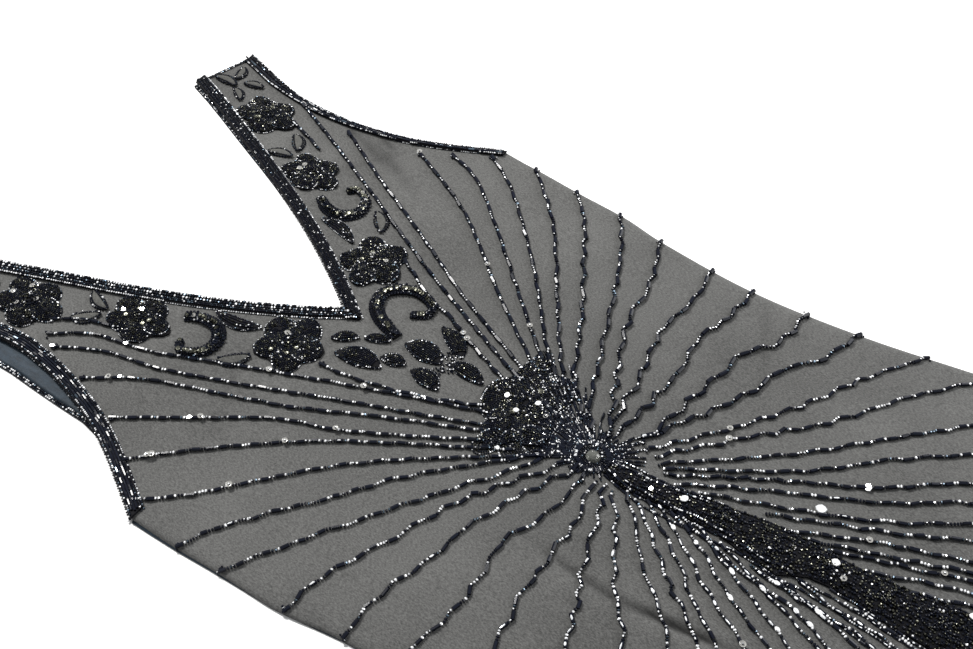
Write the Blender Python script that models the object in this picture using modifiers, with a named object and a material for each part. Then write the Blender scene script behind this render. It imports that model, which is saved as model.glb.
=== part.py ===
# Beaded maxi dress laid flat: a front and a back panel joined at the side seams,
# beaded edge bands, and raised beaded flowers, leaves, scrolls and a centre column.
# Metres. +X is the wearer's left, +Y runs to the shoulders, +Z is up from the surface it lies on.
# "down" is the distance from the shoulder seam towards the hem.

import math

import bmesh
import bpy
from mathutils import Vector
from mathutils.bvhtree import BVHTree

# Driving dimensions
LENGTH = 1.470
WALL = 0.0012
GAP = 0.0003
UNDERARM_DOWN = 0.285
NECK_DEPTH = 0.286
BACK_NECK_DEPTH = 0.300
BACK_NECK_EASE = 0.009
STRAP_SLOPE = 0.015
STRAP_SLOPE_FADE = 0.120
HEM_RISE = 0.020
HEM_RISE_START = 1.150
FRONT_LEAN = 0.006
BACK_LEAN = -0.004
LEAN_FADE = 0.400
BACK_LEAN_FADE = 0.285

# Edge bands
BAND_WIDTH = 0.0105
ROLLED = ((0.050, 1.0), (0.100, 0.52))
BAND_OVERHANG = 0.0010
BAND_HEIGHT = 0.0022
MITRE_DEPTH = 0.016
BACK_BAND_WIDTH = 0.0030
BACK_BAND_HEIGHT = 0.0008
BACK_NECK_FOOT = 0.288
BACK_ARMHOLE_FOOT = 0.275

# Raised beadwork
FLOWER_HEIGHT = 0.0030
LEAF_HEIGHT = 0.0024
SCROLL_HEIGHT = 0.0026
COLUMN_HEIGHT = 0.0034
STONE_RADII = (0.0045, 0.0052)
STONE_HEIGHT = 0.0048

# How finely the panels are divided
STRAP_ROWS = 12
SKIRT_ROWS = 42
FRONT_COLUMNS = 10
BACK_COLUMNS = 4

# Half widths of the front: (down, half width)
NECK_EDGE = (
    (0.000, 0.131),
    (0.031, 0.120),
    (0.081, 0.100),
    (0.146, 0.074),
    (0.209, 0.045),
    (0.258, 0.018),
    (0.286, 0.000),
)
ARMHOLE_EDGE = (
    (0.000, 0.189),
    (0.070, 0.172),
    (0.110, 0.166),
    (0.140, 0.167),
    (0.168, 0.171),
    (0.202, 0.179),
    (0.227, 0.188),
    (0.251, 0.199),
    (0.285, 0.216),
)
BACK_ARMHOLE_EDGE = (
    (0.000, 0.1890),
    (0.070, 0.1780),
    (0.117, 0.1745),
    (0.165, 0.1755),
    (0.204, 0.1755),
    (0.227, 0.1800),
    (0.251, 0.1915),
    (0.275, 0.2045),
    (0.285, 0.2100),
)
SIDE_SEAM = (
    (0.285, 0.216),
    (0.320, 0.2145),
    (0.362, 0.211),
    (0.409, 0.208),
    (0.446, 0.201),
    (0.530, 0.194),
    (0.614, 0.200),
    (0.692, 0.213),
    (0.781, 0.229),
    (0.901, 0.243),
    (1.080, 0.262),
    (1.280, 0.288),
    (1.470, 0.316),
)

# How far the front stands off the back: (down, height at the middle of the width)
LOFT = (
    (0.000, 0.0006),
    (0.200, 0.0010),
    (0.450, 0.0014),
    (0.700, 0.0024),
    (1.000, 0.0036),
    (1.470, 0.0040),
)

# Soft ridges (+) and troughs (-) of the front: (x, down, turn in degrees from upright,
# half length, half width, height)
FOLDS = (
    (-0.072, 0.545, -24.0, 0.060, 0.016, -0.0012),
    (-0.100, 0.560, -20.0, 0.070, 0.020, 0.0010),
    (0.140, 0.330, 62.0, 0.060, 0.018, 0.0008),
    (-0.150, 0.335, -58.0, 0.055, 0.017, 0.0008),
    (0.085, 0.800, 9.0, 0.150, 0.028, 0.0034),
    (-0.120, 0.850, -11.0, 0.170, 0.030, 0.0040),
    (0.160, 1.120, 7.0, 0.260, 0.034, 0.0062),
    (-0.175, 1.200, -8.0, 0.230, 0.032, 0.0056),
    (-0.062, 1.150, -3.0, 0.300, 0.030, 0.0070),
    (0.046, 1.230, 2.0, 0.210, 0.027, 0.0048),
    (0.102, 1.130, 5.0, 0.240, 0.022, -0.0030),
    (-0.118, 1.170, -5.0, 0.250, 0.021, -0.0028),
    (0.235, 1.330, 11.0, 0.120, 0.022, 0.0034),
    (0.000, 1.000, 1.0, 0.130, 0.020, -0.0022),
)

# Flowers beside the V, one of each on either side: (name, x, down, radius across, radius along,
# turn in degrees, how much nearer the centre the right one is)
FLOWERS = (
    ("flower_upper", 0.1328, 0.0858, 0.0200, 0.0265, 50.0, 0.0000),
    ("flower_middle", 0.0988, 0.1671, 0.0185, 0.0248, 47.0, 0.0020),
    ("flower_lower", 0.0498, 0.2742, 0.0240, 0.0240, 42.0, 0.0010),
)
PETALS = 5
PETAL_DEPTH = 0.15
PETAL_VALLEY = 0.15
PETAL_LEVELS = ((0.34, 0.82), (0.70, 1.0), (1.0, 0.5))
STONE_LEVELS = ((0.45, 0.93), (0.80, 0.66), (1.0, 0.22))
BOUQUET = (0.005, 0.4460, 0.0400, 0.0275, 26.0)
BOUQUET_PETALS = 5
FLOWER_POINTS = 30
BOUQUET_POINTS = 42
STONE_POINTS = 18

# Leaves that stand on both sides: (name, x, down, turn in degrees, length, width, how much nearer
# the centre the right one is)
PAIRED_LEAVES = (
    ("leaf_strap_outer", 0.1625, 0.0238, 71.0, 0.0190, 0.0090, 0.0000),
    ("leaf_strap_inner", 0.1463, 0.0210, -1.0, 0.0260, 0.0100, 0.0000),
    ("leaf_strap_lower", 0.1385, 0.0430, 31.0, 0.0200, 0.0080, 0.0000),
    ("leaf_strap_side", 0.1561, 0.0467, -15.0, 0.0200, 0.0085, 0.0000),
    ("leaf_middle_outer", 0.1195, 0.1310, 44.0, 0.0230, 0.0105, 0.0020),
    ("leaf_middle_inner", 0.1006, 0.1288, -17.0, 0.0240, 0.0090, 0.0000),
    ("leaf_lower_top", 0.0590, 0.2280, 11.0, 0.0400, 0.0105, 0.0050),
    ("leaf_lower_side", 0.0856, 0.2495, 44.0, 0.0250, 0.0110, 0.0030),
)

# Leaves that stand alone: (name, x, down, turn in degrees, length, width)
SINGLE_LEAVES = (
    ("leaf_foot_upper", -0.0205, 0.3045, -36.0, 0.0210, 0.0090),
    ("leaf_foot_upper_tip", -0.0085, 0.3250, -25.0, 0.0200, 0.0080),
    ("leaf_foot_lower", -0.0315, 0.3247, -12.0, 0.0375, 0.0170),
    ("leaf_foot_lower_tip", -0.0179, 0.3465, -16.0, 0.0200, 0.0110),
    ("leaf_sprig_left", 0.0204, 0.3712, 28.0, 0.0330, 0.0135),
    ("leaf_sprig_top", 0.0001, 0.3600, 0.0, 0.0330, 0.0180),
    ("leaf_sprig_right", -0.0185, 0.3748, 8.0, 0.0270, 0.0140),
    ("leaf_sprig_stem", 0.0025, 0.3960, 2.0, 0.0310, 0.0130),
)
LEAF_SECTIONS = 6

# Scrolls as points to curve through: (x, down)
PAIRED_SCROLL = (
    (0.0800, 0.1930),
    (0.0735, 0.2050),
    (0.0735, 0.2200),
    (0.0840, 0.2300),
    (0.0975, 0.2270),
    (0.1045, 0.2130),
    (0.0975, 0.2060),
)
HOOK_SCROLL = (
    (0.0011, 0.3355),
    (0.0075, 0.3145),
    (0.0163, 0.3035),
    (0.0290, 0.3005),
    (0.0395, 0.3090),
    (0.0442, 0.3222),
    (0.0402, 0.3375),
    (0.0313, 0.3413),
    (0.0231, 0.3300),
)
SCROLL_WIDTH = 0.0080
SCROLL_INSET = 0.0045
HOOK_WIDTH = 0.0088
SCROLL_SECTIONS = 18

# The centre column: (down, x, half width)
COLUMN = (
    (0.519, -0.0075, 0.0050),
    (0.535, -0.0075, 0.0078),
    (0.560, -0.0045, 0.0080),
    (0.585, -0.0010, 0.0100),
    (0.612, 0.0010, 0.0125),
    (0.638, 0.0005, 0.0175),
    (0.662, 0.0060, 0.0115),
    (0.690, 0.0070, 0.0115),
    (0.716, 0.0070, 0.0145),
    (0.745, 0.0095, 0.0175),
    (0.790, 0.0050, 0.0200),
    (0.840, -0.0030, 0.0165),
    (0.900, -0.0010, 0.0175),
    (0.960, 0.0040, 0.0115),
    (1.030, 0.0010, 0.0085),
    (1.100, 0.0000, 0.0030),
)
COLUMN_SECTIONS = 34
CENTRE_STONE = (-0.0052, 0.5070)

# Colours: red, green, blue, roughness
CLOTH_COLOUR = (0.120, 0.120, 0.115, 0.70)
LINING_COLOUR = (0.080, 0.105, 0.130, 0.60)
BEAD_COLOUR = (0.010, 0.012, 0.018, 0.22)
STONE_COLOUR = (0.300, 0.310, 0.320, 0.10)


def clear_scene():
    for old in list(bpy.data.objects):
        bpy.data.objects.remove(old, do_unlink=True)


def new_collection(name):
    collection = bpy.data.collections.new(name)
    bpy.context.scene.collection.children.link(collection)
    return collection


def material(name, colour, metallic=0.0):
    made = bpy.data.materials.new(name)
    made.use_nodes = True
    shader = made.node_tree.nodes["Principled BSDF"]
    shader.inputs["Base Color"].default_value = (*colour[:3], 1.0)
    shader.inputs["Roughness"].default_value = colour[3]
    shader.inputs["Metallic"].default_value = metallic
    return made


def smooth(table, at, column=1):
    """The value of a table's column at a distance down, on a smooth curve through its rows."""
    rows = [(row[0], row[column]) for row in table]
    at = min(max(at, rows[0][0]), rows[-1][0])
    index = 0
    while index < len(rows) - 2 and at > rows[index + 1][0]:
        index += 1
    (start, low), (end, high) = rows[index], rows[index + 1]

    def slope(i):
        before, after = rows[max(i - 1, 0)], rows[min(i + 1, len(rows) - 1)]
        return (after[1] - before[1]) / (after[0] - before[0])

    span = end - start
    t = (at - start) / span
    return (
        low * (1 + 2 * t) * (1 - t) ** 2
        + high * (3 - 2 * t) * t**2
        + slope(index) * span * t * (1 - t) ** 2
        - slope(index + 1) * span * t**2 * (1 - t)
    )


def y_of(down):
    return LENGTH / 2 - down


def lean_at(lean, down, fade=LEAN_FADE):
    return lean * max(0.0, 1 - down / fade)


def neck_half(down, ease, depth):
    """Half the width of the V at this distance down, nought below its foot."""
    if down >= depth - 1e-9:
        return 0.0
    return max(0.0, smooth(NECK_EDGE, down * NECK_DEPTH / depth) + ease * (1 - down / depth))


def outer_half(down, armhole):
    return smooth(armhole, down) if down < UNDERARM_DOWN else smooth(SIDE_SEAM, down)


def edge_drop(across, down):
    """How far a point lies below its row: the shoulder slopes and the hem rises to the side seams."""
    strap = STRAP_SLOPE * across * max(0.0, 1 - down / STRAP_SLOPE_FADE)
    hem = HEM_RISE * across**2 * max(0.0, down - HEM_RISE_START) / (LENGTH - HEM_RISE_START)
    return strap - hem


def front_point(side, across, down):
    """A point of the front in plan, from the neck edge or centre (0) to the outer edge (1)."""
    inner = neck_half(down, 0.0, NECK_DEPTH)
    x = side * (inner + across * (outer_half(down, ARMHOLE_EDGE) - inner))
    return x + lean_at(FRONT_LEAN, down), y_of(down + edge_drop(across, down))


def back_point(side, across, down):
    inner = neck_half(down, BACK_NECK_EASE, BACK_NECK_DEPTH)
    x = side * (inner + across * (outer_half(down, BACK_ARMHOLE_EDGE) - inner))
    return x + lean_at(BACK_LEAN, down, BACK_LEAN_FADE), y_of(down + edge_drop(across, down))


def fold_height(x, y):
    """Height of the front's top above its lowest lie, with its soft ridges and troughs."""
    down = LENGTH / 2 - y
    half = outer_half(max(down, 0.0), ARMHOLE_EDGE)
    inside = max(0.0, 1 - (x / half) ** 2)
    height = smooth(LOFT, down) * min(1.0, 2.2 * inside)
    for fold_x, fold_down, turn, half_length, half_width, fold in FOLDS:
        turn = math.radians(turn)
        off_x = x - fold_x
        off_y = fold_down - down
        along = off_x * math.sin(turn) + off_y * math.cos(turn)
        aside = off_x * math.cos(turn) - off_y * math.sin(turn)
        reach = (along / half_length) ** 2 + (aside / half_width) ** 2
        height += fold * math.exp(-reach) * min(1.0, 3.0 * inside)
    return max(0.0, height)


def stations(depth):
    """Distances down of the panel's rows: one lies on the foot of the V."""
    upper = [depth * row / STRAP_ROWS for row in range(STRAP_ROWS + 1)]
    step = (LENGTH - depth) / SKIRT_ROWS
    return upper + [depth + step * row for row in range(1, SKIRT_ROWS + 1)]


def add_object(collection, name, mesh, look):
    made = bpy.data.objects.new(name, mesh)
    collection.objects.link(made)
    mesh.materials.append(look)
    mesh.shade_smooth()
    mesh.set_sharp_from_angle(angle=math.radians(40))
    return made


def mesh_of(name, points, faces):
    mesh = bpy.data.meshes.new(name)
    mesh.from_pydata([tuple(point) for point in points], [], faces)
    mesh.update()
    return mesh


def panel_sheet(name, place, height, depth, columns):
    """One open sheet: two strap halves above the foot of the V, joined along the centre below it."""
    points, faces, index = [], [], {}
    downs = stations(depth)
    for row, down in enumerate(downs):
        for side in (-1, 1):
            for column in range(columns + 1):
                shared = (row, -1, 0)
                if column == 0 and side == 1 and down >= depth - 1e-9:
                    index[row, side, column] = index[shared]
                    continue
                x, y = place(side, column / columns, down)
                index[row, side, column] = len(points)
                points.append((x, y, height(x, y)))
    for row in range(len(downs) - 1):
        for side in (-1, 1):
            for column in range(columns):
                corners = [
                    index[row, side, column],
                    index[row + 1, side, column],
                    index[row + 1, side, column + 1],
                    index[row, side, column + 1],
                ]
                faces.append(corners if side == 1 else corners[::-1])
    return mesh_of(name, points, faces)


def triangulated(mesh):
    """Flat-cornered faces, so that what is laid on the sheet finds the same surface as its solid."""
    work = bmesh.new()
    work.from_mesh(mesh)
    bmesh.ops.triangulate(work, faces=work.faces)
    work.to_mesh(mesh)
    work.free()
    return mesh


def solidify(panel, offset):
    thick = panel.modifiers.new("cloth", "SOLIDIFY")
    thick.thickness = WALL
    thick.offset = offset
    thick.use_rim = True
    return panel


def lay_height(tree, x, y):
    """Height of the front's outer face under a point, or beside it just past its edge."""
    hit = tree.ray_cast(Vector((x, y, 1.0)), Vector((0, 0, -1)))[0]
    if hit is None:
        hit = tree.find_nearest(Vector((x, y, WALL)))[0]
    return hit.z


def loft(rings):
    """A closed body through rings of the same number of points, with flat ends."""
    points = [point for ring in rings for point in ring]
    count = len(rings[0])
    faces = [list(range(count))[::-1]]
    for ring in range(len(rings) - 1):
        for point in range(count):
            after = (point + 1) % count
            here = ring * count
            faces.append([here + point, here + after, here + count + after, here + count + point])
    faces.append([(len(rings) - 1) * count + point for point in range(count)])
    return points, faces


def closed_mesh(name, points, faces):
    mesh = triangulated(mesh_of(name, points, faces))
    work = bmesh.new()
    work.from_mesh(mesh)
    bmesh.ops.recalc_face_normals(work, faces=work.faces)
    work.to_mesh(mesh)
    work.free()
    return mesh


def front_band(tree, side, sections):
    """A band on the front through sections, each given as the plan points of its two edges."""
    profile = ((0.0, 0.75), (0.16, 1.0), (0.5, 0.78), (0.84, 1.0), (1.0, 0.65))
    rings = []
    for (ax, ay), (bx, by) in sections:
        under, over = [], []
        for part, share in profile:
            x = ax + part * (bx - ax)
            y = ay + part * (by - ay)
            low = lay_height(tree, x, y) + GAP
            under.append((x, y, low))
            over.append((x, y, low + BAND_HEIGHT * share))
        rings.append(over + under[::-1])
    return loft(rings)


def neck_sections(side):
    """Edges of the neck band at each row, then the mitre at the foot of the V."""
    sections = []
    for row in range(STRAP_ROWS + 1):
        down = NECK_DEPTH * row / STRAP_ROWS
        edge = neck_half(down, 0.0, NECK_DEPTH)
        lean = lean_at(FRONT_LEAN, down)
        near = max(edge - BAND_OVERHANG, GAP)
        y = y_of(down)
        sections.append(((side * near + lean, y), (side * (edge + BAND_WIDTH) + lean, y)))
    foot = y_of(NECK_DEPTH + MITRE_DEPTH)
    sections.append(((side * GAP, foot), (side * BAND_OVERHANG, foot)))
    return sections


def rolled(side, down):
    """The share of the armhole band that shows: the left one is rolled under below the strap."""
    if side == -1:
        return 1.0
    (start, wide), (end, narrow) = ROLLED
    part = min(1.0, max(0.0, (down - start) / (end - start)))
    return wide + part * (narrow - wide)


def armhole_sections(side):
    sections = []
    for row in range(STRAP_ROWS + 1):
        down = NECK_DEPTH * row / STRAP_ROWS
        edge = outer_half(min(down, UNDERARM_DOWN), ARMHOLE_EDGE)
        lean = lean_at(FRONT_LEAN, down)
        y = y_of(down + edge_drop(1.0, down))
        width = BAND_WIDTH * rolled(side, down)
        sections.append(((side * (edge - width) + lean, y), (side * (edge + BAND_OVERHANG) + lean, y)))
    return sections


def back_band(sections):
    """A low band along an edge of the back, clear of the front that lies over it."""
    rings = []
    for (ax, ay), (bx, by) in sections:
        top = GAP + BACK_BAND_HEIGHT
        rings.append([(ax, ay, GAP), (ax, ay, top), (bx, by, top), (bx, by, GAP)])
    return loft(rings)


def back_edge_sections(side, across, outward, foot):
    """Edges of a band beside the back's neck edge (across 0) or armhole edge (across 1)."""
    spacing = BACK_NECK_DEPTH / STRAP_ROWS
    downs = [spacing * row for row in range(STRAP_ROWS + 1) if spacing * row < foot - 0.2 * spacing]
    sections = []
    for down in [*downs, foot]:
        x, y = back_point(side, across, down)
        near = x + side * outward * 2 * GAP
        far = near + side * outward * BACK_BAND_WIDTH
        sections.append(((near, y), (far, y)))
    return sections


def spline(points, count):
    """Points at even steps of a smooth curve through the given ones."""
    ends = [points[0], *points, points[-1]]
    made = []
    for step in range(count):
        place = step * (len(points) - 1) / (count - 1)
        part = min(int(place), len(points) - 2)
        t = place - part
        before, start, end, after = ends[part : part + 4]
        made.append(
            tuple(
                0.5
                * (
                    2 * q
                    + (r - p) * t
                    + (2 * p - 5 * q + 4 * r - s) * t**2
                    + (3 * q - p - 3 * r + s) * t**3
                )
                for p, q, r, s in zip(before, start, end, after)
            )
        )
    return made


def ridge(tree, line, halves, height):
    """A raised ribbon on the front along a line in plan, with a half width at each of its points."""
    rings = []
    for place, (x, y) in enumerate(line):
        before = line[max(place - 1, 0)]
        after = line[min(place + 1, len(line) - 1)]
        heading = Vector((after[0] - before[0], after[1] - before[1])).normalized()
        across = Vector((-heading.y, heading.x))
        half = halves[place]
        crown = height * min(1.0, 0.45 + half / 0.006)
        ring = []
        for offset, share in ((-1.0, 0.45), (-0.5, 0.9), (0.0, 1.0), (0.5, 0.9), (1.0, 0.45)):
            px = x + across.x * half * offset
            py = y + across.y * half * offset
            ring.append((px, py, lay_height(tree, px, py) + GAP + crown * share))
        for offset in (1.0, 0.0, -1.0):
            px = x + across.x * half * offset
            py = y + across.y * half * offset
            ring.append((px, py, lay_height(tree, px, py) + GAP))
        rings.append(ring)
    return loft(rings)


def leaf(tree, x, down, turn, length, width, side=1):
    """A pointed leaf about its middle, turned from upright."""
    turn = math.radians(turn) * side
    line, halves = [], []
    for section in range(LEAF_SECTIONS):
        t = section / (LEAF_SECTIONS - 1)
        along = (t - 0.5) * length
        bow = 0.10 * length * math.sin(math.pi * t)
        line.append(
            (
                x + along * math.sin(turn) + bow * math.cos(turn) * side,
                y_of(down) + along * math.cos(turn) - bow * math.sin(turn) * side,
            )
        )
        halves.append(max(0.0005, 0.5 * width * math.sin(math.pi * t) ** 0.8))
    return ridge(tree, line, halves, LEAF_HEIGHT)


def mound(tree, middle, radii, levels, height, points, petals=0, turn=0.0):
    """A domed body on the front: rings given as (share of the radius, share of the height), its rim
    scalloped where it has petals."""
    x, y = middle
    made, faces = [], []

    def add(px, py, lift):
        made.append((px, py, lay_height(tree, px, py) + GAP + height * lift))
        return len(made) - 1

    def half(top):
        centre = add(x, y, top)
        rings = []
        for share, lift in levels:
            ring = []
            for point in range(points):
                angle = 2 * math.pi * point / points
                wave = math.cos(petals * (angle - math.radians(turn))) if petals else 1.0
                scallop = share * (1 + PETAL_DEPTH * share * wave if petals else 1.0)
                valley = 1 - PETAL_VALLEY * share * (1 - wave)
                px = x + radii[0] * scallop * math.cos(angle)
                py = y + radii[1] * scallop * math.sin(angle)
                ring.append(add(px, py, top * lift * valley))
            rings.append(ring)
        for point in range(points):
            after = (point + 1) % points
            faces.append([centre, rings[0][point], rings[0][after]])
            for inner, outer in zip(rings, rings[1:]):
                faces.append([inner[point], outer[point], outer[after], inner[after]])
        return rings[-1]

    over, under = half(1.0), half(0.0)
    for point in range(points):
        after = (point + 1) % points
        faces.append([over[point], under[point], under[after], over[after]])
    return made, faces


def build_panels(collection, looks):
    front_sheet = panel_sheet(
        "front_panel",
        front_point,
        lambda x, y: 2 * WALL + GAP + fold_height(x, y),
        NECK_DEPTH,
        FRONT_COLUMNS,
    )
    triangulated(front_sheet)
    solidify(add_object(collection, "front_panel", front_sheet, looks["cloth"]), -1.0)
    back_sheet = panel_sheet("back_panel", back_point, lambda x, y: 0.0, BACK_NECK_DEPTH, BACK_COLUMNS)
    solidify(add_object(collection, "back_panel", back_sheet, looks["lining"]), 1.0)
    work = bmesh.new()
    work.from_mesh(front_sheet)
    tree = BVHTree.FromBMesh(work)
    work.free()
    return tree


def build_bands(collection, looks, tree):
    for side, word in ((1, "left"), (-1, "right")):
        bodies = {
            f"front_neck_band_{word}": front_band(tree, side, neck_sections(side)),
            f"front_armhole_band_{word}": front_band(tree, side, armhole_sections(side)),
            f"back_neck_band_{word}": back_band(back_edge_sections(side, 0.0, -1, BACK_NECK_FOOT)),
            f"back_armhole_band_{word}": back_band(back_edge_sections(side, 1.0, 1, BACK_ARMHOLE_FOOT)),
        }
        for name, (points, faces) in bodies.items():
            add_object(collection, name, closed_mesh(name, points, faces), looks["beads"])


def paired_x(x, down, side, inset):
    """Where a motif that stands on both sides lies across the front."""
    return side * x + lean_at(FRONT_LEAN, down) + (inset if side == -1 else 0.0)


def build_flowers(collection, looks, tree):
    for name, x, down, across, along, turn, inset in FLOWERS:
        for side, word in ((1, "left"), (-1, "right")):
            middle = (paired_x(x, down, side, inset), y_of(down))
            radii = (across, along)
            turned = turn if side == 1 else 180.0 - turn
            body = mound(tree, middle, radii, PETAL_LEVELS, FLOWER_HEIGHT, FLOWER_POINTS, PETALS, turned)
            full = f"{name}_{word}"
            add_object(collection, full, closed_mesh(full, *body), looks["beads"])
    x, down, across, along, turn = BOUQUET
    radii = (across, along)
    body = mound(
        tree, (x, y_of(down)), radii, PETAL_LEVELS, FLOWER_HEIGHT, BOUQUET_POINTS, BOUQUET_PETALS, turn
    )
    add_object(collection, "bouquet", closed_mesh("bouquet", *body), looks["beads"])


def build_leaves(collection, looks, tree):
    for name, x, down, turn, length, width, inset in PAIRED_LEAVES:
        for side, word in ((1, "left"), (-1, "right")):
            body = leaf(tree, paired_x(x, down, side, inset), down, turn, length, width, side)
            full = f"{name}_{word}"
            add_object(collection, full, closed_mesh(full, *body), looks["beads"])
    for name, x, down, turn, length, width in SINGLE_LEAVES:
        body = leaf(tree, x, down, turn, length, width)
        add_object(collection, name, closed_mesh(name, *body), looks["beads"])


def build_scrolls(collection, looks, tree):
    scrolls = (
        ("scroll_hook", HOOK_SCROLL, HOOK_WIDTH, 1),
        ("scroll_left", PAIRED_SCROLL, SCROLL_WIDTH, 1),
        ("scroll_right", PAIRED_SCROLL, SCROLL_WIDTH, -1),
    )
    for name, route, width, side in scrolls:
        plan = [(paired_x(x, down, side, SCROLL_INSET), y_of(down)) for x, down in route]
        line = spline(plan, SCROLL_SECTIONS)
        halves = []
        for section in range(SCROLL_SECTIONS):
            along = section / (SCROLL_SECTIONS - 1)
            halves.append(width * (0.30 + 0.28 * math.sin(math.pi * min(1.0, along + 0.15))))
        body = ridge(tree, line, halves, SCROLL_HEIGHT)
        add_object(collection, name, closed_mesh(name, *body), looks["beads"])


def build_column(collection, looks, tree):
    top, foot = COLUMN[0][0], COLUMN[-1][0]
    line, halves = [], []
    for section in range(COLUMN_SECTIONS):
        down = top + (foot - top) * section / (COLUMN_SECTIONS - 1)
        line.append((smooth(COLUMN, down, 1), y_of(down)))
        halves.append(smooth(COLUMN, down, 2))
    body = ridge(tree, line, halves, COLUMN_HEIGHT)
    add_object(collection, "centre_column", closed_mesh("centre_column", *body), looks["beads"])
    x, down = CENTRE_STONE
    body = mound(tree, (x, y_of(down)), STONE_RADII, STONE_LEVELS, STONE_HEIGHT, STONE_POINTS)
    add_object(collection, "centre_stone", closed_mesh("centre_stone", *body), looks["stone"])


def main():
    clear_scene()
    collection = new_collection("maxi_dress")
    looks = {
        "cloth": material("cloth_grey", CLOTH_COLOUR),
        "lining": material("lining_blue_grey", LINING_COLOUR),
        "beads": material("beads_black", BEAD_COLOUR),
        "stone": material("stone_grey", STONE_COLOUR),
    }
    tree = build_panels(collection, looks)
    build_bands(collection, looks, tree)
    build_flowers(collection, looks, tree)
    build_leaves(collection, looks, tree)
    build_scrolls(collection, looks, tree)
    build_column(collection, looks, tree)


main()
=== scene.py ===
# Looks of the beaded maxi dress laid flat: cloth, beadwork, floor, light and camera.
# Metres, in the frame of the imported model. "down" is the distance from the shoulder seam.
import math

import bmesh
import bpy
import numpy as np
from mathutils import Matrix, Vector
from mathutils.bvhtree import BVHTree


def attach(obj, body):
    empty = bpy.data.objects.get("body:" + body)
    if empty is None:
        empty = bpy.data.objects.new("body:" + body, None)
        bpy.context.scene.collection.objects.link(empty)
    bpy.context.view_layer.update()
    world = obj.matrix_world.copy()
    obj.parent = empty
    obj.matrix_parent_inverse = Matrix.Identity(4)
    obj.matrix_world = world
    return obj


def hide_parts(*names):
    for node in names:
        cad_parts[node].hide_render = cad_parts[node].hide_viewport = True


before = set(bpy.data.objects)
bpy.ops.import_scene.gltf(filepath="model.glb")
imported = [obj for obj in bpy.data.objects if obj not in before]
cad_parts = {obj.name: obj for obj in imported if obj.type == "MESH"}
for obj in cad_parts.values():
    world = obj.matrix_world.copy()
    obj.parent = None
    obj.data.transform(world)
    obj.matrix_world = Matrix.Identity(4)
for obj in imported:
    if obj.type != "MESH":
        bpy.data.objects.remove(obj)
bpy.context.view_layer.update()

# Sizes of the cut, as in the model
LENGTH = 1.470
WALL = 0.0012
GAP = 0.0003
UNDERARM_DOWN = 0.285
NECK_DEPTH = 0.286
BACK_NECK_DEPTH = 0.300
BACK_NECK_EASE = 0.009
STRAP_SLOPE = 0.015
STRAP_SLOPE_FADE = 0.120
HEM_RISE = 0.020
HEM_RISE_START = 1.150
FRONT_LEAN = 0.006
BACK_LEAN = -0.004
LEAN_FADE = 0.400
BACK_LEAN_FADE = 0.285
# The left armhole's band is narrower below the strap: (down, share of its width)
ROLLED = ((0.050, 1.0), (0.100, 0.52))
# The shells' rows lie closer down to here
FINE_TO = 0.780
# Thickness of the two shells
FRONT_CLOTH = 0.0011
BACK_CLOTH = 0.0009
# Their rows to the foot of the V, from there to FINE_TO and to the hem, and their columns on a side
FRONT_GRID = ((70, 150, 60), 72)
BACK_GRID = ((70, 20, 20), 40)
# The front rolls down over the back's edge at the side seams: by how much, over what width, and the
# length below the underarm over which that begins
SEAM_DROP = 0.0013
SEAM_ROLL = 0.0060
SEAM_START = 0.020
# How fast the loft, the folds and the creases rise from the side edges
LOFT_RISE = 2.2
FOLD_RISE = 3.0
CREASE_RISE = 4.0
# The cloth's painted shade is at its darkest where creases are half as deep as this
CREASE_SPAN = 0.004

# Half widths: (down, half width)
NECK_EDGE = (
    (0, 0.131), (0.031, 0.12), (0.081, 0.1), (0.146, 0.074), (0.209, 0.045), (0.258, 0.018), (0.286, 0),
)
ARMHOLE_EDGE = (
    (0, 0.189), (0.07, 0.172), (0.11, 0.166), (0.14, 0.167), (0.168, 0.171), (0.202, 0.179), (0.227, 0.188),
    (0.251, 0.199), (0.285, 0.216),
)
BACK_ARMHOLE_EDGE = (
    (0, 0.189), (0.07, 0.178), (0.117, 0.1745), (0.165, 0.1755), (0.204, 0.1755), (0.227, 0.18),
    (0.251, 0.1915), (0.275, 0.2045), (0.285, 0.21),
)
SIDE_SEAM = (
    (0.285, 0.216), (0.32, 0.2145), (0.362, 0.211), (0.409, 0.208), (0.446, 0.201), (0.53, 0.194),
    (0.614, 0.2), (0.692, 0.213), (0.781, 0.229), (0.901, 0.243), (1.08, 0.262), (1.28, 0.288),
    (1.47, 0.316),
)

# How far the front stands off the back: (down, height at the middle of the width)
LOFT = ((0, 0.0006), (0.2, 0.001), (0.45, 0.0014), (0.7, 0.0024), (1, 0.0036), (1.47, 0.004))

# Soft ridges (+) and troughs (-) of the model: (x, down, turn in degrees from upright,
# half length, half width, height)
FOLDS = (
    (-0.072, 0.545, -24, 0.06, 0.016, -0.0012), (-0.1, 0.56, -20, 0.07, 0.02, 0.001),
    (0.14, 0.33, 62, 0.06, 0.018, 0.0008), (-0.15, 0.335, -58, 0.055, 0.017, 0.0008),
    (0.085, 0.8, 9, 0.15, 0.028, 0.0034), (-0.12, 0.85, -11, 0.17, 0.03, 0.004),
    (0.16, 1.12, 7, 0.26, 0.034, 0.0062), (-0.175, 1.2, -8, 0.23, 0.032, 0.0056),
    (-0.062, 1.15, -3, 0.3, 0.03, 0.007), (0.046, 1.23, 2, 0.21, 0.027, 0.0048),
    (0.102, 1.13, 5, 0.24, 0.022, -0.003), (-0.118, 1.17, -5, 0.25, 0.021, -0.0028),
    (0.235, 1.33, 11, 0.12, 0.022, 0.0034), (0, 1, 1, 0.13, 0.02, -0.0022),
)
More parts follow.
